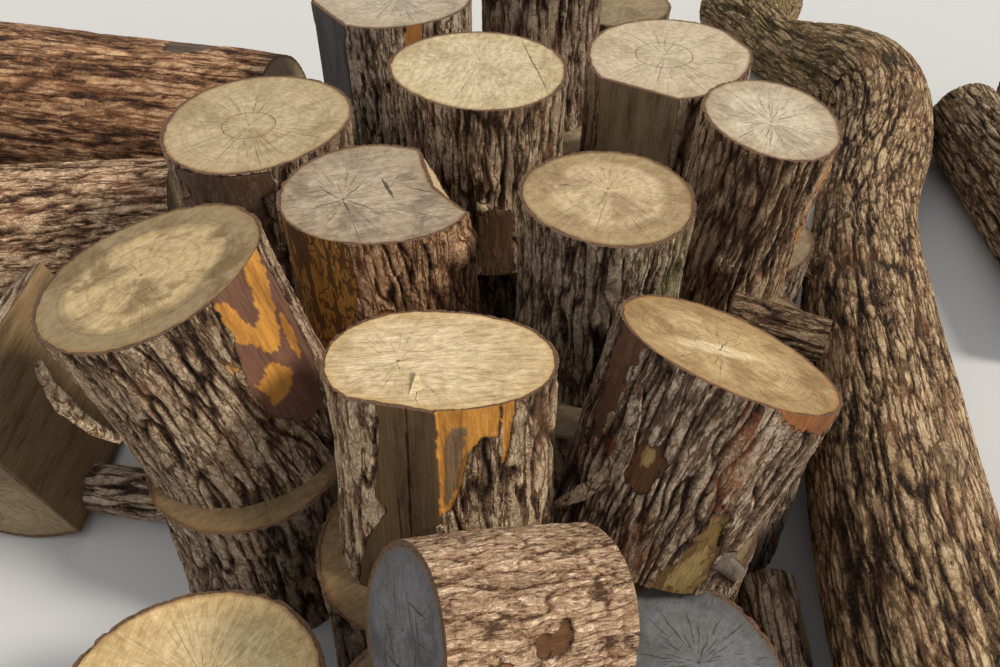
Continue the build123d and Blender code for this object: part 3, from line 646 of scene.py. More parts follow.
# Adds a strip of loose bark that follows a line over a log's side.
def addFlap(parts, flap, data, normal, tint):
    along, around = normal.shape[:2]
    stops = np.linspace(0, 1, len(flap["path"]))
    steps = np.linspace(0, 1, flapShape["steps"])
    ways, shares, lifts = (np.interp(steps, stops, values) for values in zip(*flap["path"]))
    rows = np.clip(np.rint(shares * (along - 1)), 0, along - 1).astype(int)
    columns = np.rint(ways / 360 * around).astype(int) % around
    outward = normal[rows, columns]
    line = data["grid"][rows, columns] + outward * lifts[:, None]
    for _ in range(4):
        line[1:-1] = 0.25 * line[:-2] + 0.5 * line[1:-1] + 0.25 * line[2:]
    run = np.gradient(line, axis=0)
    run /= np.linalg.norm(run, axis=1)[:, None]
    stand = flap.get("stand", 0.0)
    across = np.cross(run, outward) * (1 - stand) + outward * stand
    across /= np.linalg.norm(across, axis=1)[:, None]
    facing = np.cross(across, run)
    narrowest = flapShape["narrowest"]
    swelling = narrowest + (1 - narrowest) * np.sin(math.pi * np.clip(steps * 0.9 + 0.05, 0, 1))
    half = swelling[:, None] * flap["wide"] / 2
    uneven = (1 + sum(size * np.sin(steps * pace) for size, pace in flapShape["wavers"]))[:, None]
    outer = [(side, curl, flapShape["thick"]) for side, curl in flapShape["curls"]]
    corners = outer + [(side, curl, -thick) for side, curl, thick in outer[::-1]]
    points = np.stack([line + across * half * uneven * side + facing * (curl + rise)
                       for side, curl, rise in corners], axis=1).reshape(-1, 3)
    ids = parts.addPoints(points, place=points, skin=(flapShape["ridge"], 0.0, 0.0),
                          tint=np.array(tint) * flapShape["paler"]).reshape(len(steps), len(corners))
    for row, nextRow in zip(ids[:-1], ids[1:]):
        for corner in range(len(corners)):
            nextCorner = (corner + 1) % len(corners)
            parts.addFace((row[corner], row[nextCorner], nextRow[nextCorner], nextRow[corner]), barkPart)
    parts.addFace(ids[0][::-1], barkPart)
    parts.addFace(ids[-1], barkPart)


# The splinter that stands on a sawn top, in metres: its foot's corners from the top's middle, how high each
# rises, how deep it roots, and where in the wood's pattern it takes its pale colour.
standingSplinters = {
    "front_round": {
        "corners": ((-0.030, -0.048), (-0.046, -0.134), (-0.004, -0.136)), "rise": (0.020, 0.015, 0.004),
        "root": 0.002, "palePlace": (0.10, 0.0, 0.0), "inset": 0.05,
    },
}


# Adds a torn splinter that stands on a log's top.
def addSplinter(parts, splinter, data):
    middle = np.array(tuple(data["topMiddle"]))
    root = splinter["root"]
    feet = [middle + (x, y, -root) for x, y in splinter["corners"]]
    heads = [foot + (0, 0, rise + root) for foot, rise in zip(feet, splinter["rise"])]
    points = np.array(feet + heads)
    place = (points - points.mean(axis=0)) * (1, 1, 0) + splinter["palePlace"]
    ids = parts.addPoints(points, place=place, inset=splinter["inset"], tint=1.0)
    parts.addFace(ids[3:], topPart, rounded=False)
    parts.addFace(ids[2::-1], topPart, rounded=False)
    for corner in range(3):
        nextCorner = (corner + 1) % 3
        quad = (ids[corner], ids[nextCorner], ids[nextCorner + 3], ids[corner + 3])
        parts.addFace(quad, topPart, rounded=False)


# Makes one log: bark round its side and sawn wood on its ends.
def buildLog(name, look):
    data = logGrid(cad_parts[name], look)
    grid, local = data["grid"], data["local"]
    along, around = grid.shape[:2]
    stride = np.linalg.norm(grid[along // 2] - np.roll(grid[along // 2], 1, axis=0), axis=1)
    girth = float(np.mean(stride)) * around
    height, skin, patchColour = logSkin(look, data, girth)
    normal = gridNormals(grid)
    moved = grid + normal * height[:, :, None]
    # The two end rows stay in the planes of the saw cuts.
    for row, cut in ((0, data["footNormal"]), (along - 1, data["topNormal"])):
        flat = np.array(tuple(cut))
        inward = normal[row] - np.outer(normal[row] @ flat, flat)
        moved[row] = grid[row] + inward * height[row][:, None]
    parts = LogParts()
    side = parts.addPoints(moved.reshape(-1, 3), place=local.reshape(-1, 3), skin=skin.reshape(-1, 3),
                           patchColour=patchColour.reshape(-1, 3), tint=look["tint"]).reshape(along, around)
    for low, high in zip(side[:-1], side[1:]):
        parts.bridge(low, high, barkPart, True)
    addSawnEnd(parts, look, grid[-1], moved[-1], data["topNormal"], topPart)
    addSawnEnd(parts, look, grid[0], moved[0], data["footNormal"], footPart)
    for flap in look["flaps"]:
        addFlap(parts, flap, data, normal, look["tint"])
    if name in standingSplinters:
        addSplinter(parts, standingSplinters[name], data)
    piece = bpy.data.objects.new(name + "Log", parts.makeMesh(name + "Wood"))
    bpy.context.scene.collection.objects.link(piece)
    for label in (look["bark"], look["top"], look["foot"]):
        piece.data.materials.append(materialNamed(label))
    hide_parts(name)
    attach(piece, "root")


# Adds and links the nodes of one material.
class Nodes:
    def __init__(self, name):
        self.material = bpy.data.materials.new(name)
        self.material.use_nodes = True
        self.tree = self.material.node_tree
        self.tree.nodes.clear()
        self.shader = self.tree.nodes.new("ShaderNodeBsdfPrincipled")
        output = self.tree.nodes.new("ShaderNodeOutputMaterial")
        self.tree.links.new(self.shader.outputs[0], output.inputs["Surface"])

    def link(self, source, target):
        if isinstance(source, bpy.types.NodeSocket):
            self.tree.links.new(source, target)
        else:
            target.default_value = source

    # A new node with its settings, and with a value or a link in each socket given.
    def add(self, kind, sockets, **settings):
        node = self.tree.nodes.new(kind)
        for setting, value in settings.items():
            setattr(node, setting, value)
        for socket, source in sockets.items():
            self.link(source, node.inputs[socket])
        return node

    def attribute(self, name, output):
        return self.add("ShaderNodeAttribute", {}, attribute_name=name).outputs[output]

    def split(self, vector):
        return self.add("ShaderNodeSeparateXYZ", {0: vector}).outputs

    def vector(self, operation, a, b=None):
        sockets = {0: a} if b is None else {0: a, 1: b}
        node = self.add("ShaderNodeVectorMath", sockets, operation=operation)
        return node.outputs["Value" if operation in ("LENGTH", "DOT_PRODUCT") else "Vector"]

    def scaled(self, vector, scale):
        return self.vector("MULTIPLY", vector, scale)

    def maths(self, operation, a, b=0.0, c=None):
        sockets = {0: a, 1: b} if c is None else {0: a, 1: b, 2: c}
        return self.add("ShaderNodeMath", sockets, operation=operation).outputs[0]

    def plus(self, a, b):
        return self.maths("ADD", a, b)

    def minus(self, a, b):
        return self.maths("SUBTRACT", a, b)

    def times(self, a, b):
        return self.maths("MULTIPLY", a, b)

    def timesPlus(self, a, b, c):
        return self.maths("MULTIPLY_ADD", a, b, c)

    # Leaves a share of a value where the mask is 0, and all of it where the mask is 1.
    def held(self, mask, strength):
        return self.timesPlus(mask, strength, 1 - strength)

    def between(self, value, low, high, toLow=0.0, toHigh=1.0):
        sockets = {"Value": value, "From Min": low, "From Max": high, "To Min": toLow, "To Max": toHigh}
        return self.add("ShaderNodeMapRange", sockets, interpolation_type="SMOOTHSTEP").outputs[0]

    def mix(self, share, a, b, blend="MIX"):
        a, b = (part if isinstance(part, bpy.types.NodeSocket) else (*part, 1) for part in (a, b))
        sockets = {0: share, 6: a, 7: b}
        return self.add("ShaderNodeMix", sockets, data_type="RGBA", blend_type=blend).outputs[2]

    def tinted(self, share, colour, tint):
        return self.mix(share, colour, tint, blend="MULTIPLY")

    def ramp(self, value, *stops):
        node = self.add("ShaderNodeValToRGB", {0: value})
        while len(node.color_ramp.elements) < len(stops):
            node.color_ramp.elements.new(0.5)
        for element, (place, colour) in zip(node.color_ramp.elements, stops):
            element.position = place
            element.color = (*colour, 1)
        return node.outputs["Color"]

    def noise(self, vector, scale, detail=4, rough=0.55, warp=0.0):
        sockets = {"Vector": vector, "Scale": scale, "Detail": detail, "Roughness": rough, "Distortion": warp}
        return self.add("ShaderNodeTexNoise", sockets).outputs["Fac"]

    # Moves a pattern's places about.
    def wander(self, vector, scale, reach):
        node = self.add("ShaderNodeTexNoise", {"Vector": vector, "Scale": scale, "Detail": 2})
        moved = self.vector("SUBTRACT", node.outputs["Color"], (0.5, 0.5, 0.5))
        return self.vector("ADD", vector, self.scaled(moved, (reach, reach, reach)))

    # Gaps between plates: 0 in a gap, 1 on a plate.
    def plateGap(self, vector, scale):
        sockets = {"Vector": vector, "Scale": scale}
        node = self.add("ShaderNodeTexVoronoi", sockets, feature="DISTANCE_TO_EDGE")
        return self.between(node.outputs["Distance"], 0.03, 0.15)

    # Noise crosses its middle value in thin winding lines: 0 on a line, 1 away from it.
    def offLine(self, value, low, high):
        return self.between(self.maths("ABSOLUTE", self.minus(value, 0.5)), low, high)

    # Checks that run out from the heart, each in a sector of its own: 1 in a check, 0 beside it.
    def checks(self, place, radius, grow, count, shortest, longest, width, seed):
        x, y = self.split(place)[:2]
        angle = self.timesPlus(self.maths("ARCTAN2", y, x), count / 2 / math.pi, count + seed)
        white = self.add("ShaderNodeTexWhiteNoise", {}, noise_dimensions="1D")
        self.link(self.maths("FLOOR", angle), white.inputs["W"])
        start, reach, offset = self.split(white.outputs["Color"])[:3]
        off = self.maths("ABSOLUTE", self.minus(self.maths("FRACT", angle), self.timesPlus(offset, 0.6, 0.2)))
        off = self.times(off, self.times(radius, 2 * math.pi / count))
        span = self.timesPlus(reach, longest - shortest, shortest)
        begin = self.times(self.minus(1.0, span), start)
        along = self.maths("DIVIDE", self.minus(grow, begin), span)
        taper = self.times(along, self.minus(1.0, along))
        return self.maths("LESS_THAN", off, self.times(taper, 4 * width))

    # Joins colour and relief to the shader, and gives the material.
    def finished(self, colour, height, strength, finish):
        sockets = {"Height": height, "Strength": strength, "Distance": finish["bump"]}
        relief = self.add("ShaderNodeBump", sockets)
        self.link(colour, self.shader.inputs["Base Color"])
        self.shader.inputs["Roughness"].default_value = finish["roughness"]
        self.shader.inputs["Specular IOR Level"].default_value = finish["specular"]
        self.link(relief.outputs["Normal"], self.shader.inputs["Normal"])
        return self.material


# Colours of each kind of bark: deep in a furrow, which is painted shade, on its side, on the ridge and
# weathered. lines is how many furrows there are to a metre around, long how short they are, and cross the
# breaks to a metre. plate and plateLong say the same of plates, and gap how dark their gaps are, as painted
# shade. patchy is how much light and dark places vary, and patchLong how short these are along the log.
barkColours = {
    "furrowed": {"deep": (40, 30, 23), "side": (110, 87, 67), "ridge": (162, 139, 112),
                 "worn": (216, 196, 168), "lines": 36, "long": 0.13, "cross": 44, "patchy": 1.0,
                 "patchLong": 0.5},
    "blocky": {"deep": (42, 31, 23), "side": (122, 97, 72), "ridge": (180, 152, 118), "worn": (218, 194, 160),
               "lines": 40, "long": 0.11, "cross": 44, "plate": 40, "plateLong": 0.20, "gap": 0.58,
               "patchy": 0.7, "patchLong": 0.5},
    "streaked": {"deep": (48, 34, 27), "side": (128, 96, 72), "ridge": (182, 148, 116),
                 "worn": (222, 194, 160), "lines": 26, "long": 0.07, "cross": 34, "plate": 34,
                 "plateLong": 0.15, "gap": 0.45, "patchy": 1.0, "patchLong": 0.10},
    "flaky": {"deep": (80, 58, 43), "side": (160, 131, 104), "ridge": (192, 165, 136),
              "worn": (220, 197, 169), "lines": 58, "long": 0.17, "cross": 62, "plate": 62, "plateLong": 0.22,
              "gap": 0.42, "patchy": 0.4, "patchLong": 0.5},
}
barkFinish = {"roughness": 0.88, "specular": 0.2, "bump": 0.0050}
# Inner bark shows reddish where the surface has flaked off. Some of it stays on bare wood.
innerBark = (132, 92, 64)
innerRemains = (82, 56, 38)
gritColour = (74, 56, 42)
# Painted shade for the rim of a bare patch, where the bark steps down to the wood.
patchRimShade = (50, 36, 28)
# How fine each pattern of the bark is, in cells to a metre.
barkCells = {"loose": 26, "plateEdge": 48, "fibre": 150, "grit": 210, "wide": 10, "edge": 70, "grain": 300,
             "broad": 26, "worms": 30}


# Bark with painted shade that darkens its furrows, breaks and plate gaps, pale on its ridges, with bare and
# mossy patches.
def barkMaterial(kind):
    look = barkColours[kind]
    colours = {part: linear(look[part]) for part in ("deep", "side", "ridge", "worn")}
    nodes = Nodes(kind + "Bark")
    place = nodes.attribute("place", "Vector")
    ridge, bare, cover = nodes.split(nodes.attribute("skin", "Vector"))[:3]
    tint, patchColour = nodes.attribute("tint", "Color"), nodes.attribute("patchColour", "Color")

    # Noise that is stretched along the log.
    def grown(vector, cells, along, detail=4, rough=0.55):
        return nodes.noise(nodes.scaled(vector, (1, 1, along)), cells, detail, rough)

    loose = nodes.wander(place, barkCells["loose"], 0.012)
    furrow = nodes.offLine(grown(loose, look["lines"], look["long"], 3, 0.58), 0.008, 0.050)
    fibre = grown(loose, barkCells["fibre"], 0.28, 4, 0.68)
    cross = nodes.noise(nodes.scaled(loose, (0.7, 0.7, 0.6)), look["cross"], 3)
    grit = grown(place, barkCells["grit"], 0.7, 4, 0.78)
    wide = grown(place, barkCells["wide"], look["patchLong"], 4, 0.62)
    # crust is low in the furrows, the breaks across ridges, the fibre lines and the plate gaps. Besides the
    # bump, it darkens them through the ramp below as painted shade, and so does a low ridge share.
    crust = nodes.times(nodes.held(furrow, 0.62), nodes.held(nodes.offLine(cross, 0.0, 0.030), 0.30))
    crust = nodes.times(crust, nodes.held(nodes.offLine(fibre, 0.0, 0.05), 0.22))
    if "plate" in look:
        edges = nodes.scaled(nodes.wander(place, barkCells["plateEdge"], 0.010), (1, 1, look["plateLong"]))
        crust = nodes.times(crust, nodes.held(nodes.plateGap(edges, look["plate"]), look["gap"]))
    rise = nodes.times(crust, nodes.held(ridge, 0.85))
    rise = nodes.timesPlus(nodes.minus(fibre, 0.5), 0.40, rise)
    rise = nodes.timesPlus(nodes.minus(grit, 0.5), 0.85, rise)
    # The deep colour at the low end of this ramp is painted shade in the furrows and gaps.
    colour = nodes.ramp(rise, (0.10, colours["deep"]), (0.36, colours["side"]), (0.68, colours["ridge"]),
                        (0.98, colours["worn"]))
    patchy = nodes.ramp(wide, (0.30, (0.62, 0.58, 0.55)), (0.5, (0.98, 0.96, 0.94)),
                        (0.70, (1.26, 1.25, 1.24)))
    colour = nodes.tinted(look["patchy"], colour, patchy)
    flaked = nodes.between(nodes.plus(wide, nodes.times(fibre, 0.30)), 0.70, 0.76)
    colour = nodes.mix(nodes.times(flaked, 0.35), colour, linear(innerBark))
    colour = nodes.tinted(1.0, colour, tint)
    edge = nodes.minus(grown(place, barkCells["edge"], 0.4), 0.5)
    covered = nodes.times(cover, nodes.between(nodes.plus(grit, edge), 0.30, 0.70))
    colour = nodes.mix(covered, colour, patchColour)
    # Bare wood has a long grain, darker streaks and some remains of the inner bark.
    isBare = nodes.between(nodes.timesPlus(edge, 0.75, bare), 0.44, 0.50)
    grain = grown(place, barkCells["grain"], 0.04, 4, 0.72)
    broad = grown(loose, barkCells["broad"], 0.16, 5, 0.66)
    wood = nodes.tinted(1.0, patchColour, nodes.ramp(
        grain, (0.28, (0.45, 0.41, 0.38)), (0.42, (0.84, 0.81, 0.78)), (0.66, (1.14, 1.12, 1.08))))
    wood = nodes.tinted(1.0, wood, nodes.ramp(
        broad, (0.34, (0.58, 0.52, 0.50)), (0.48, (0.96, 0.94, 0.93)), (0.64, (1.14, 1.10, 1.04))))
    worms = nodes.minus(1.0, nodes.offLine(grown(loose, barkCells["worms"], 0.6, 2), 0.012, 0.045))
    remains = nodes.times(cover, nodes.maths("MAXIMUM", worms, nodes.between(broad, 0.51, 0.55)))
    wood = nodes.mix(nodes.times(remains, 0.85), wood, linear(innerRemains))
    wood = nodes.mix(nodes.between(grit, 0.62, 0.70, 0.0, 0.5), wood, linear(gritColour))
    colour = nodes.mix(isBare, colour, wood)
    # A dark rim round each bare patch is painted shade at the bark's step.
    rimShade = nodes.times(nodes.between(bare, 0.28, 0.44), nodes.minus(1.0, isBare))
    colour = nodes.mix(nodes.times(rimShade, 0.6), colour, linear(patchRimShade))
    height = nodes.times(nodes.timesPlus(grit, 0.55, crust), nodes.between(bare, 0.40, 0.55, 1.0, 0.20))
    return nodes.finished(colour, height, 1.0, barkFinish)


# Looks of the sawn ends. heart and outer are the wood's colours, dirt what weather left on it and edge the
# inner bark's. dirty, rings, rays, checks and saw say how strongly each shows, and sawTurn is the way of the
# saw's strokes in degrees. zone is where the heartwood ends. splits are the longer cracks: two ends in
# millimetres from the middle of the top, and a width. arc is a crack along a ring: how far out, and how much
# of the ring. streak is a pale streak: its way, half length, half width and colour.
woodLooks = {
    "frontWood": dict(heart=(222, 199, 158), outer=(210, 184, 140), dirt=(182, 154, 110), dirty=0.45,
                      rings=0.25, rays=0.35, checks=0.35, saw=0.75, sawTurn=6, edge=(196, 156, 96),
                      splits=((-95, -30, -40, 0, 1.6), (-62, 12, -20, 16, 1.4), (-70, -5, -58, -40, 1.2),
                              (-30, -40, -28, -120, 2.4), (20, 30, 90, 60, 0.8))),
    "leftWood": dict(heart=(206, 178, 130), outer=(158, 136, 100), dirt=(118, 94, 60), dirty=0.7, rings=0.7,
                     zone=(0.62, 0.74), rays=0.2, checks=0.3, saw=0.35, sawTurn=35, edge=(150, 116, 70),
                     splits=((-10, -4, 70, 30, 1.2), (-30, -40, 60, -120, 0.9), (-12, 0, -50, 40, 1.0))),
    "backLeftWood": dict(heart=(194, 172, 134), outer=(184, 162, 124), dirt=(144, 122, 88), dirty=0.5,
                         rings=0.8, rays=0.5, checks=0.75, saw=0.25, sawTurn=60, edge=(140, 108, 70),
                         arc=(62, 0.9), splits=((10, -60, 60, -150, 1.2), (30, -40, 130, -100, 1.2),
                                                (40, -10, 170, -40, 1.0), (-14, -22, -60, 60, 1.0))),
    "chippedWood": dict(heart=(182, 163, 138), outer=(168, 149, 124), dirt=(128, 112, 94), dirty=0.7,
                        rings=0.4, rays=0.5, checks=0.6, saw=0.6, sawTurn=15, edge=(140, 112, 78),
                        splits=((-48, -12, -20, -80, 3.6), (-38, -20, -100, -52, 3.2),
                                (-43, -24, -100, 20, 3.0), (-43, -20, -10, 40, 3.0), (-43, -20, 30, -60, 3.2),
                                (28, 60, 62, -20, 10.0), (50, 28, 70, 90, 1.8), (84, 24, 150, 2, 4.5))),
    "middleBackWood": dict(heart=(210, 192, 154), outer=(204, 184, 144), dirt=(166, 142, 104), dirty=0.45,
                           rings=0.35, rays=0.5, checks=0.4, saw=0.5, sawTurn=78, edge=(150, 118, 78),
                           splits=((103, 180, 170, -155, 3.6), (3, 43, 60, 40, 1.0), (3, 43, -60, 80, 0.8))),
    "middleRightWood": dict(heart=(204, 180, 138), outer=(172, 148, 108), dirt=(138, 112, 76), dirty=0.55,
                            rings=0.7, rays=0.35, checks=0.5, saw=0.3, sawTurn=50, edge=(136, 102, 64),
                            zone=(0.56, 0.72),
                            splits=((-95, 36, -70, 40, 4.5), (2, 23, 60, 40, 1.2), (2, 23, -50, 60, 1.0),
                                    (2, 23, -30, -60, 1.0))),
    "backRightWood": dict(heart=(206, 187, 158), outer=(198, 178, 148), dirt=(164, 142, 114), dirty=0.45,
                          rings=0.6, rays=0.6, checks=0.8, saw=0.15, sawTurn=10, edge=(150, 120, 84),
                          arc=(74, 0.8), splits=((-14, -2, 60, 40, 1.2), (-14, -2, -90, 10, 1.0))),
    "rightWood": dict(heart=(206, 188, 162), outer=(184, 165, 138), dirt=(144, 124, 100), dirty=0.5,
                      rings=0.3, rays=0.7, checks=0.75, saw=0.1, sawTurn=40, edge=(140, 108, 74),
                      splits=((-9, -20, -80, -50, 1.8), (-9, -20, -60, 60, 1.8), (-9, -20, 20, 90, 1.6),
                              (-9, -20, 90, 40, 1.8), (-9, -20, 80, -70, 1.6), (-9, -20, 0, -130, 1.8))),
    "leaningWood": dict(heart=(196, 168, 120), outer=(168, 140, 96), dirt=(136, 104, 62), dirty=0.6,
                        rings=0.9, streak=(10, 95, 26, (236, 214, 172)), rays=0.35, checks=0.5, saw=0.45,
                        sawTurn=-28, edge=(160, 108, 60), splits=((-60, -8, 10, -18, 1.6),
                                                                  (-21, -14, 0, 30, 1.2),
                                                                  (-30, -30, -10, 10, 1.2))),
    "greyWood": dict(heart=(190, 174, 150), outer=(180, 163, 138), dirt=(140, 125, 108), dirty=0.5,
                     rings=0.35, rays=0.4, checks=0.9, saw=0.3, sawTurn=20, edge=(130, 108, 84), splits=()),
    "brightWood": dict(heart=(226, 200, 150), outer=(220, 190, 136), dirt=(186, 154, 106), dirty=0.35,
                       rings=0.4, rays=0.7, checks=0.35, saw=0.4, sawTurn=80, edge=(150, 110, 70),
                       splits=((20, 30, 120, 150, 1.0), (20, 30, -80, 160, 0.8))),
    # A darkened tan top that stands for painted shade.
    "shadedTanWood": dict(heart=(150, 124, 88), outer=(138, 112, 78), dirt=(110, 88, 60), dirty=0.5, rings=0.5,
                    rays=0.3, checks=0.5, saw=0.5, sawTurn=25, edge=(120, 86, 54), splits=()),
    # A dark blue-grey top that stands for painted shade.
    "shadedBlueGreyWood": dict(heart=(118, 117, 116), outer=(106, 105, 104), dirt=(80, 78, 76), dirty=0.5,
                         rings=0.4, rays=0.3, checks=1.0, saw=0.3, sawTurn=45, edge=(96, 84, 72), splits=()),
    "frontLogEnd": dict(heart=(116, 115, 117), outer=(104, 102, 103), dirt=(74, 71, 71), dirty=0.6, rings=0.3,
                        rays=0.25, checks=0.5, saw=0.35, sawTurn=70, edge=(112, 88, 66),
                        splits=((60, 40, 20, -50, 4.0), (-70, 30, -10, -60, 4.5), (-20, 70, -60, -40, 3.6),
                                (-100, -20, -60, 40, 3.4), (90, -30, 50, 30, 3.6), (-50, -70, 40, -30, 4.0),
                                (10, -80, 70, 10, 3.0), (-10, 20, 50, 90, 3.2))),
    "dullWood": dict(heart=(156, 136, 104), outer=(146, 126, 96), dirt=(108, 90, 66), dirty=0.5, rings=0.4,
                     rays=0.3, checks=0.7, saw=0.4, sawTurn=35, edge=(104, 78, 54), splits=()),
    "orangeEnd": dict(heart=(170, 112, 62), outer=(158, 98, 52), dirt=(104, 66, 38), dirty=0.6, rings=0.3,
                      rays=0.3, checks=0.6, saw=0.4, sawTurn=35, edge=(104, 66, 40), splits=()),
}
piths = {look["top"]: look["pith"] for look in logLooks.values() if "top" in look and "pith" in look}
woodFinish = {"roughness": 0.82, "specular": 0.25, "bump": 0.0014}
# Painted shade inside the cracks, checks and heart's hole of a sawn end.
crackShade = (58, 42, 30)
rimColours = (54, 38, 28), (118, 88, 64)
# Painted shade in the thin gap between the inner bark and the bark.
rimGapShade = (34, 24, 18)

# Checks of a sawn end: how many there can be, their shortest and longest share of the radius, and their width
# in metres.
checkKinds = ((13, 0.25, 0.75, 0.0011), (31, 0.10, 0.40, 0.0008), (79, 0.04, 0.15, 0.0006))
# How fine each pattern of the wood is, in cells to a metre.
woodCells = {"loose": 14, "wander": 9, "blotch": 9, "mottle": 60, "ring": 11, "stroke": 300, "strokeBand": 80,
             "bowed": 3, "ragged": 45, "rim": 40, "rimGrain": 240}
# How many growth rings a sawn end has, how far they wander in rings, and how the broad ones vary.
ringShape = {"count": 42.0, "wander": 7.0, "broad": 9}
# The bark's edge on a sawn end, in metres from the rim: inner bark, a thin gap painted dark as shade, and the
# bark.
rimWidths = {"inner": (0.018, 0.010), "gap": 0.0092, "gapHalf": 0.0011, "bark": (0.0095, 0.0080)}


# How far a place is along a direction and beside it, each with a scale of its own.
def alongBeside(nodes, place, turn, alongScale, besideScale):
    cos, sin = math.cos(turn), math.sin(turn)
    return (nodes.vector("DOT_PRODUCT", place, (cos * alongScale, sin * alongScale, 0)),
            nodes.vector("DOT_PRODUCT", place, (-sin * besideScale, cos * besideScale, 0)))


# Where a sawn end is cracked, as a mask for the painted shade inside the cracks: the heart's hole, checks,
# splits that narrow to their ends, and a crack along a ring.
def cracks(nodes, look, pith, place, radius, heading, grow):
    ragged = nodes.wander(place, woodCells["ragged"], 0.008)
    dark = nodes.between(radius, 0.0015, 0.004, 1.0, 0.0)
    for number, (count, shortest, longest, width) in enumerate(checkKinds):
        width *= look["checks"]
        check = nodes.checks(ragged, radius, grow, count, shortest, longest, width, 5.3 + number)
        dark = nodes.maths("MAXIMUM", dark, check)
    for x1, y1, x2, y2, width in look["splits"]:
        middle = ((x1 + x2) / 2000 - pith[0], (y1 + y2) / 2000 - pith[1], 0)
        half = math.hypot(x2 - x1, y2 - y1) / 2000
        away = nodes.vector("SUBTRACT", ragged, middle)
        lengthwise, sideways = alongBeside(nodes, away, math.atan2(y2 - y1, x2 - x1), 1 / half, 1)
        taper = nodes.timesPlus(nodes.times(lengthwise, lengthwise), -1.0, 1.0)
        split = nodes.maths("LESS_THAN", nodes.maths("ABSOLUTE", sideways), nodes.times(taper, width / 2300))
        dark = nodes.maths("MAXIMUM", dark, split)
    if "arc" in look:
        ringAt, share = look["arc"]
        offRing = nodes.maths("ABSOLUTE", nodes.minus(nodes.vector("LENGTH", ragged), ringAt / 1000))
        arcShows = nodes.between(nodes.noise(heading, 1.3, 3), 1 - share - 0.35, 1 - share - 0.3)
        arc = nodes.times(nodes.maths("LESS_THAN", offRing, 0.0011), arcShows)
        dark = nodes.maths("MAXIMUM", dark, arc)
    return dark


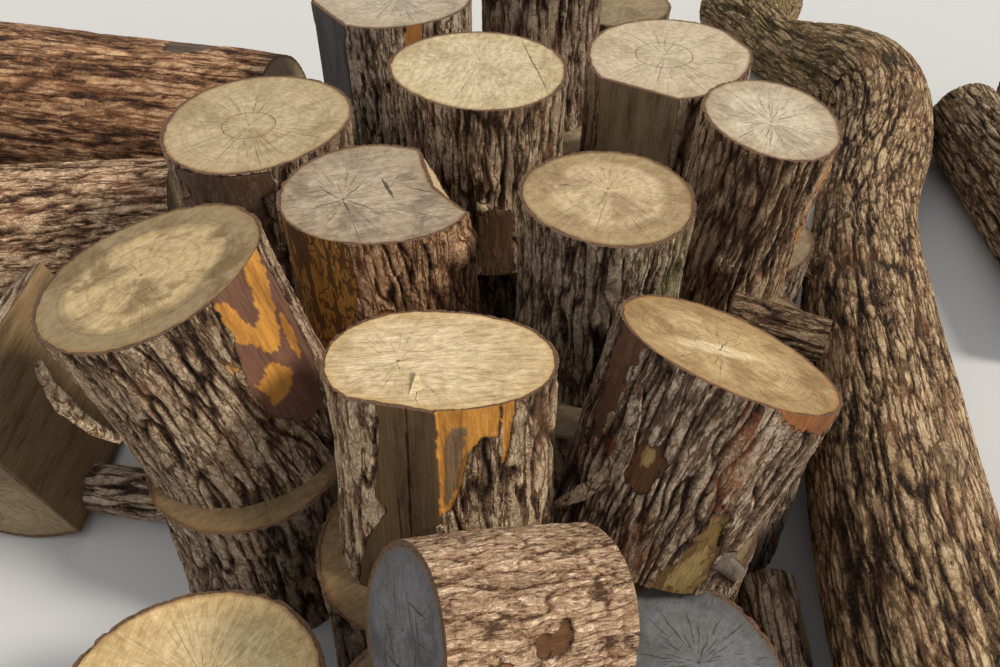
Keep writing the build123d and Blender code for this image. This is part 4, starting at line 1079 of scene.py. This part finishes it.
# A sawn end: growth rings, cracks, saw strokes, weathering and the bark's edge.
def woodMaterial(name):
    look = woodLooks[name]
    pith = piths.get(name, plainLog["pith"])
    nodes = Nodes(name)
    place = nodes.scaled(nodes.attribute("place", "Vector"), (1, 1, 0))
    inset = nodes.attribute("inset", "Fac")
    radius = nodes.vector("LENGTH", place)
    heading = nodes.vector("NORMALIZE", place)
    grow = nodes.maths("DIVIDE", radius, nodes.maths("MAXIMUM", nodes.plus(radius, inset), 0.01))
    loose = nodes.wander(place, woodCells["loose"], 0.03)
    wander = nodes.noise(place, woodCells["wander"], 3)
    zone = nodes.between(nodes.timesPlus(nodes.minus(wander, 0.5), 0.3, grow), *look.get("zone", (0.5, 0.9)))
    colour = nodes.mix(zone, linear(look["heart"]), linear(look["outer"]))
    # Weather and dirt lie in soft blotches with a finer mottle.
    blotch = nodes.between(nodes.noise(loose, woodCells["blotch"], 6, 0.66, 0.5), 0.46, 0.62)
    colour = nodes.mix(nodes.times(blotch, look["dirty"]), colour, linear(look["dirt"]))
    mottle = nodes.ramp(nodes.noise(loose, woodCells["mottle"], 6, 0.7), (0.36, (0.76, 0.74, 0.70)),
                        (0.64, (1.14, 1.15, 1.16)))
    colour = nodes.tinted(0.8, colour, mottle)
    if "streak" in look:
        way, half, wide, pale = look["streak"]
        lengthwise, sideways = alongBeside(nodes, loose, math.radians(way), 1000 / half, 1000 / wide)
        reach = nodes.timesPlus(lengthwise, lengthwise, nodes.times(sideways, sideways))
        colour = nodes.mix(nodes.between(reach, 0.2, 1.1, 0.7, 0.0), colour, linear(pale))
    # Growth rings follow the outline and show in some places more than others.
    ringPlace = nodes.timesPlus(grow, ringShape["count"], nodes.times(wander, ringShape["wander"]))
    ring = nodes.between(nodes.maths("SINE", nodes.times(ringPlace, 2 * math.pi)), -0.1, 1.0)
    ringHere = nodes.between(nodes.noise(place, woodCells["ring"], 3), 0.36, 0.62, 0.25, 1.0)
    broadRing = nodes.noise(nodes.vector("MULTIPLY", (1, 1, 1), grow), ringShape["broad"], 4, 0.7)
    for mask, share, shade in ((nodes.times(ring, ringHere), 0.30, 0.55),
                               (nodes.between(broadRing, 0.5, 0.62), 0.35, 0.9)):
        ringColour = linear([part * shade for part in look["dirt"]])
        colour = nodes.mix(nodes.times(mask, share * look["rings"]), colour, ringColour)
    # Rays of the grain run out from the heart.
    spread = nodes.scaled(heading, (26, 26, 0))
    outward = nodes.vector("ADD", spread, nodes.vector("MULTIPLY", (0, 0, 9), radius))
    ray = nodes.ramp(nodes.noise(outward, 1.0, 5, 0.75), (0.34, (0.70, 0.66, 0.60)),
                     (0.56, (1.06, 1.05, 1.04)))
    colour = nodes.tinted(look["rays"], colour, ray)
    # Saw strokes are nearly straight and all run one way.
    bowed = nodes.wander(place, woodCells["bowed"], 0.02)
    stretch, across = alongBeside(nodes, bowed, math.radians(look["sawTurn"]), 1, 1)
    joined = nodes.add("ShaderNodeCombineXYZ", {0: across, 1: nodes.times(stretch, 0.13)}).outputs[0]
    stroke, band = (nodes.noise(joined, woodCells[kind], 3, 0.7) for kind in ("stroke", "strokeBand"))
    strokes = nodes.timesPlus(band, 0.5, nodes.times(stroke, 0.5))
    strokeTint = nodes.ramp(strokes, (0.40, (0.58, 0.50, 0.40)), (0.49, (0.92, 0.88, 0.82)),
                            (0.57, (1.14, 1.17, 1.22)))
    colour = nodes.tinted(look["saw"], colour, strokeTint)
    # The cracks are painted dark as the shade inside them.
    dark = cracks(nodes, look, pith, place, radius, heading, grow)
    colour = nodes.mix(nodes.times(dark, 0.82), colour, linear(crackShade))
    uneven = nodes.minus(nodes.noise(loose, woodCells["rim"], 5), 0.5)
    fromRim = nodes.plus(inset, nodes.times(uneven, 0.010))
    inner = nodes.times(nodes.between(fromRim, *rimWidths["inner"]), 0.7)
    colour = nodes.mix(inner, colour, linear(look["edge"]))
    rimDark, rimPale = (linear(shade) for shade in rimColours)
    rimGrain = nodes.noise(loose, woodCells["rimGrain"], 5, 0.7)
    rimColour = nodes.ramp(rimGrain, (0.3, rimDark), (0.6, rimPale))
    colour = nodes.mix(nodes.between(fromRim, *rimWidths["bark"]), colour, rimColour)
    # The thin gap at the rim is painted dark as shade, where it shows.
    gapShows = nodes.between(nodes.noise(heading, 2.2), 0.46, 0.56)
    offGap = nodes.maths("ABSOLUTE", nodes.minus(fromRim, rimWidths["gap"]))
    gap = nodes.times(nodes.maths("LESS_THAN", offGap, rimWidths["gapHalf"]), gapShows)
    colour = nodes.mix(nodes.times(gap, 0.85), colour, linear(rimGapShade))
    return nodes.finished(colour, stroke, 0.25 + 0.5 * look["saw"], woodFinish)


madeMaterials = {}


def materialNamed(label):
    if label not in madeMaterials:
        madeMaterials[label] = barkMaterial(label) if label in barkKinds else woodMaterial(label)
    return madeMaterials[label]


for number, name in enumerate(sorted(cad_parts)):
    buildLog(name, {**plainLog, "seed": 11 + number, **logLooks.get(name, {})})
print("logs made")

# The viewer stands before the heap and looks down over it: metres from the middle of the round under the
# front one, metres up and degrees down.
viewer = {"fromBase": (0.170, -0.905), "height": 1.75, "down": 43.0, "lens": 30.6, "sensor": 36.0}
baseLow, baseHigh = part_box("front_round_base")
baseCentre = (baseLow + baseHigh) / 2
cameraData = bpy.data.cameras.new("viewCamera")
camera = bpy.data.objects.new("viewCamera", cameraData)
bpy.context.scene.collection.objects.link(camera)
besideBase, beforeBase = viewer["fromBase"]
camera.location = (baseCentre.x + besideBase, baseCentre.y + beforeBase, viewer["height"])
camera.rotation_euler = (math.radians(90 - viewer["down"]), 0, 0)
cameraData.lens = viewer["lens"]
cameraData.sensor_width = viewer["sensor"]
bpy.context.scene.camera = camera

# A pale floor.
floor = {"size": 40.0, "colour": (204, 201, 195), "roughness": 0.9}
bpy.ops.mesh.primitive_plane_add(size=floor["size"])
floorPiece = bpy.context.object
floorPiece.name = "floor"
floorNodes = Nodes("floorPaint")
floorNodes.shader.inputs["Base Color"].default_value = (*linear(floor["colour"]), 1)
floorNodes.shader.inputs["Roughness"].default_value = floor["roughness"]
floorPiece.data.materials.append(floorNodes.material)

# Soft, even studio light from the right, with a weak fill from the left. soft is a lamp's width in radians.
lights = {
    "key": {"kind": "SUN", "at": (4.5, -1.0, 4.2), "power": 2.8, "soft": 0.22, "colour": (1.0, 0.96, 0.9)},
    "fill": {"kind": "SUN", "at": (-4.5, -3.0, 4.5), "power": 0.25, "soft": 1.0, "colour": (0.94, 0.97, 1.0)},
}
skyLight = {"colour": (0.9, 0.94, 1.0), "strength": 0.60}
for label, light in lights.items():
    lightData = bpy.data.lights.new(label, light["kind"])
    lightData.angle = light["soft"]
    lightData.energy = light["power"]
    lightData.color = light["colour"]
    lamp = bpy.data.objects.new(label, lightData)
    bpy.context.scene.collection.objects.link(lamp)
    lamp.location = light["at"]
    lamp.rotation_euler = (-Vector(light["at"])).to_track_quat("-Z", "Y").to_euler()
world = bpy.data.worlds.new("studio")
bpy.context.scene.world = world
world.use_nodes = True
background = world.node_tree.nodes["Background"]
background.inputs["Color"].default_value = (*skyLight["colour"], 1)
background.inputs["Strength"].default_value = skyLight["strength"]
bpy.context.scene.view_settings.view_transform = "Standard"
print("camera and light set")
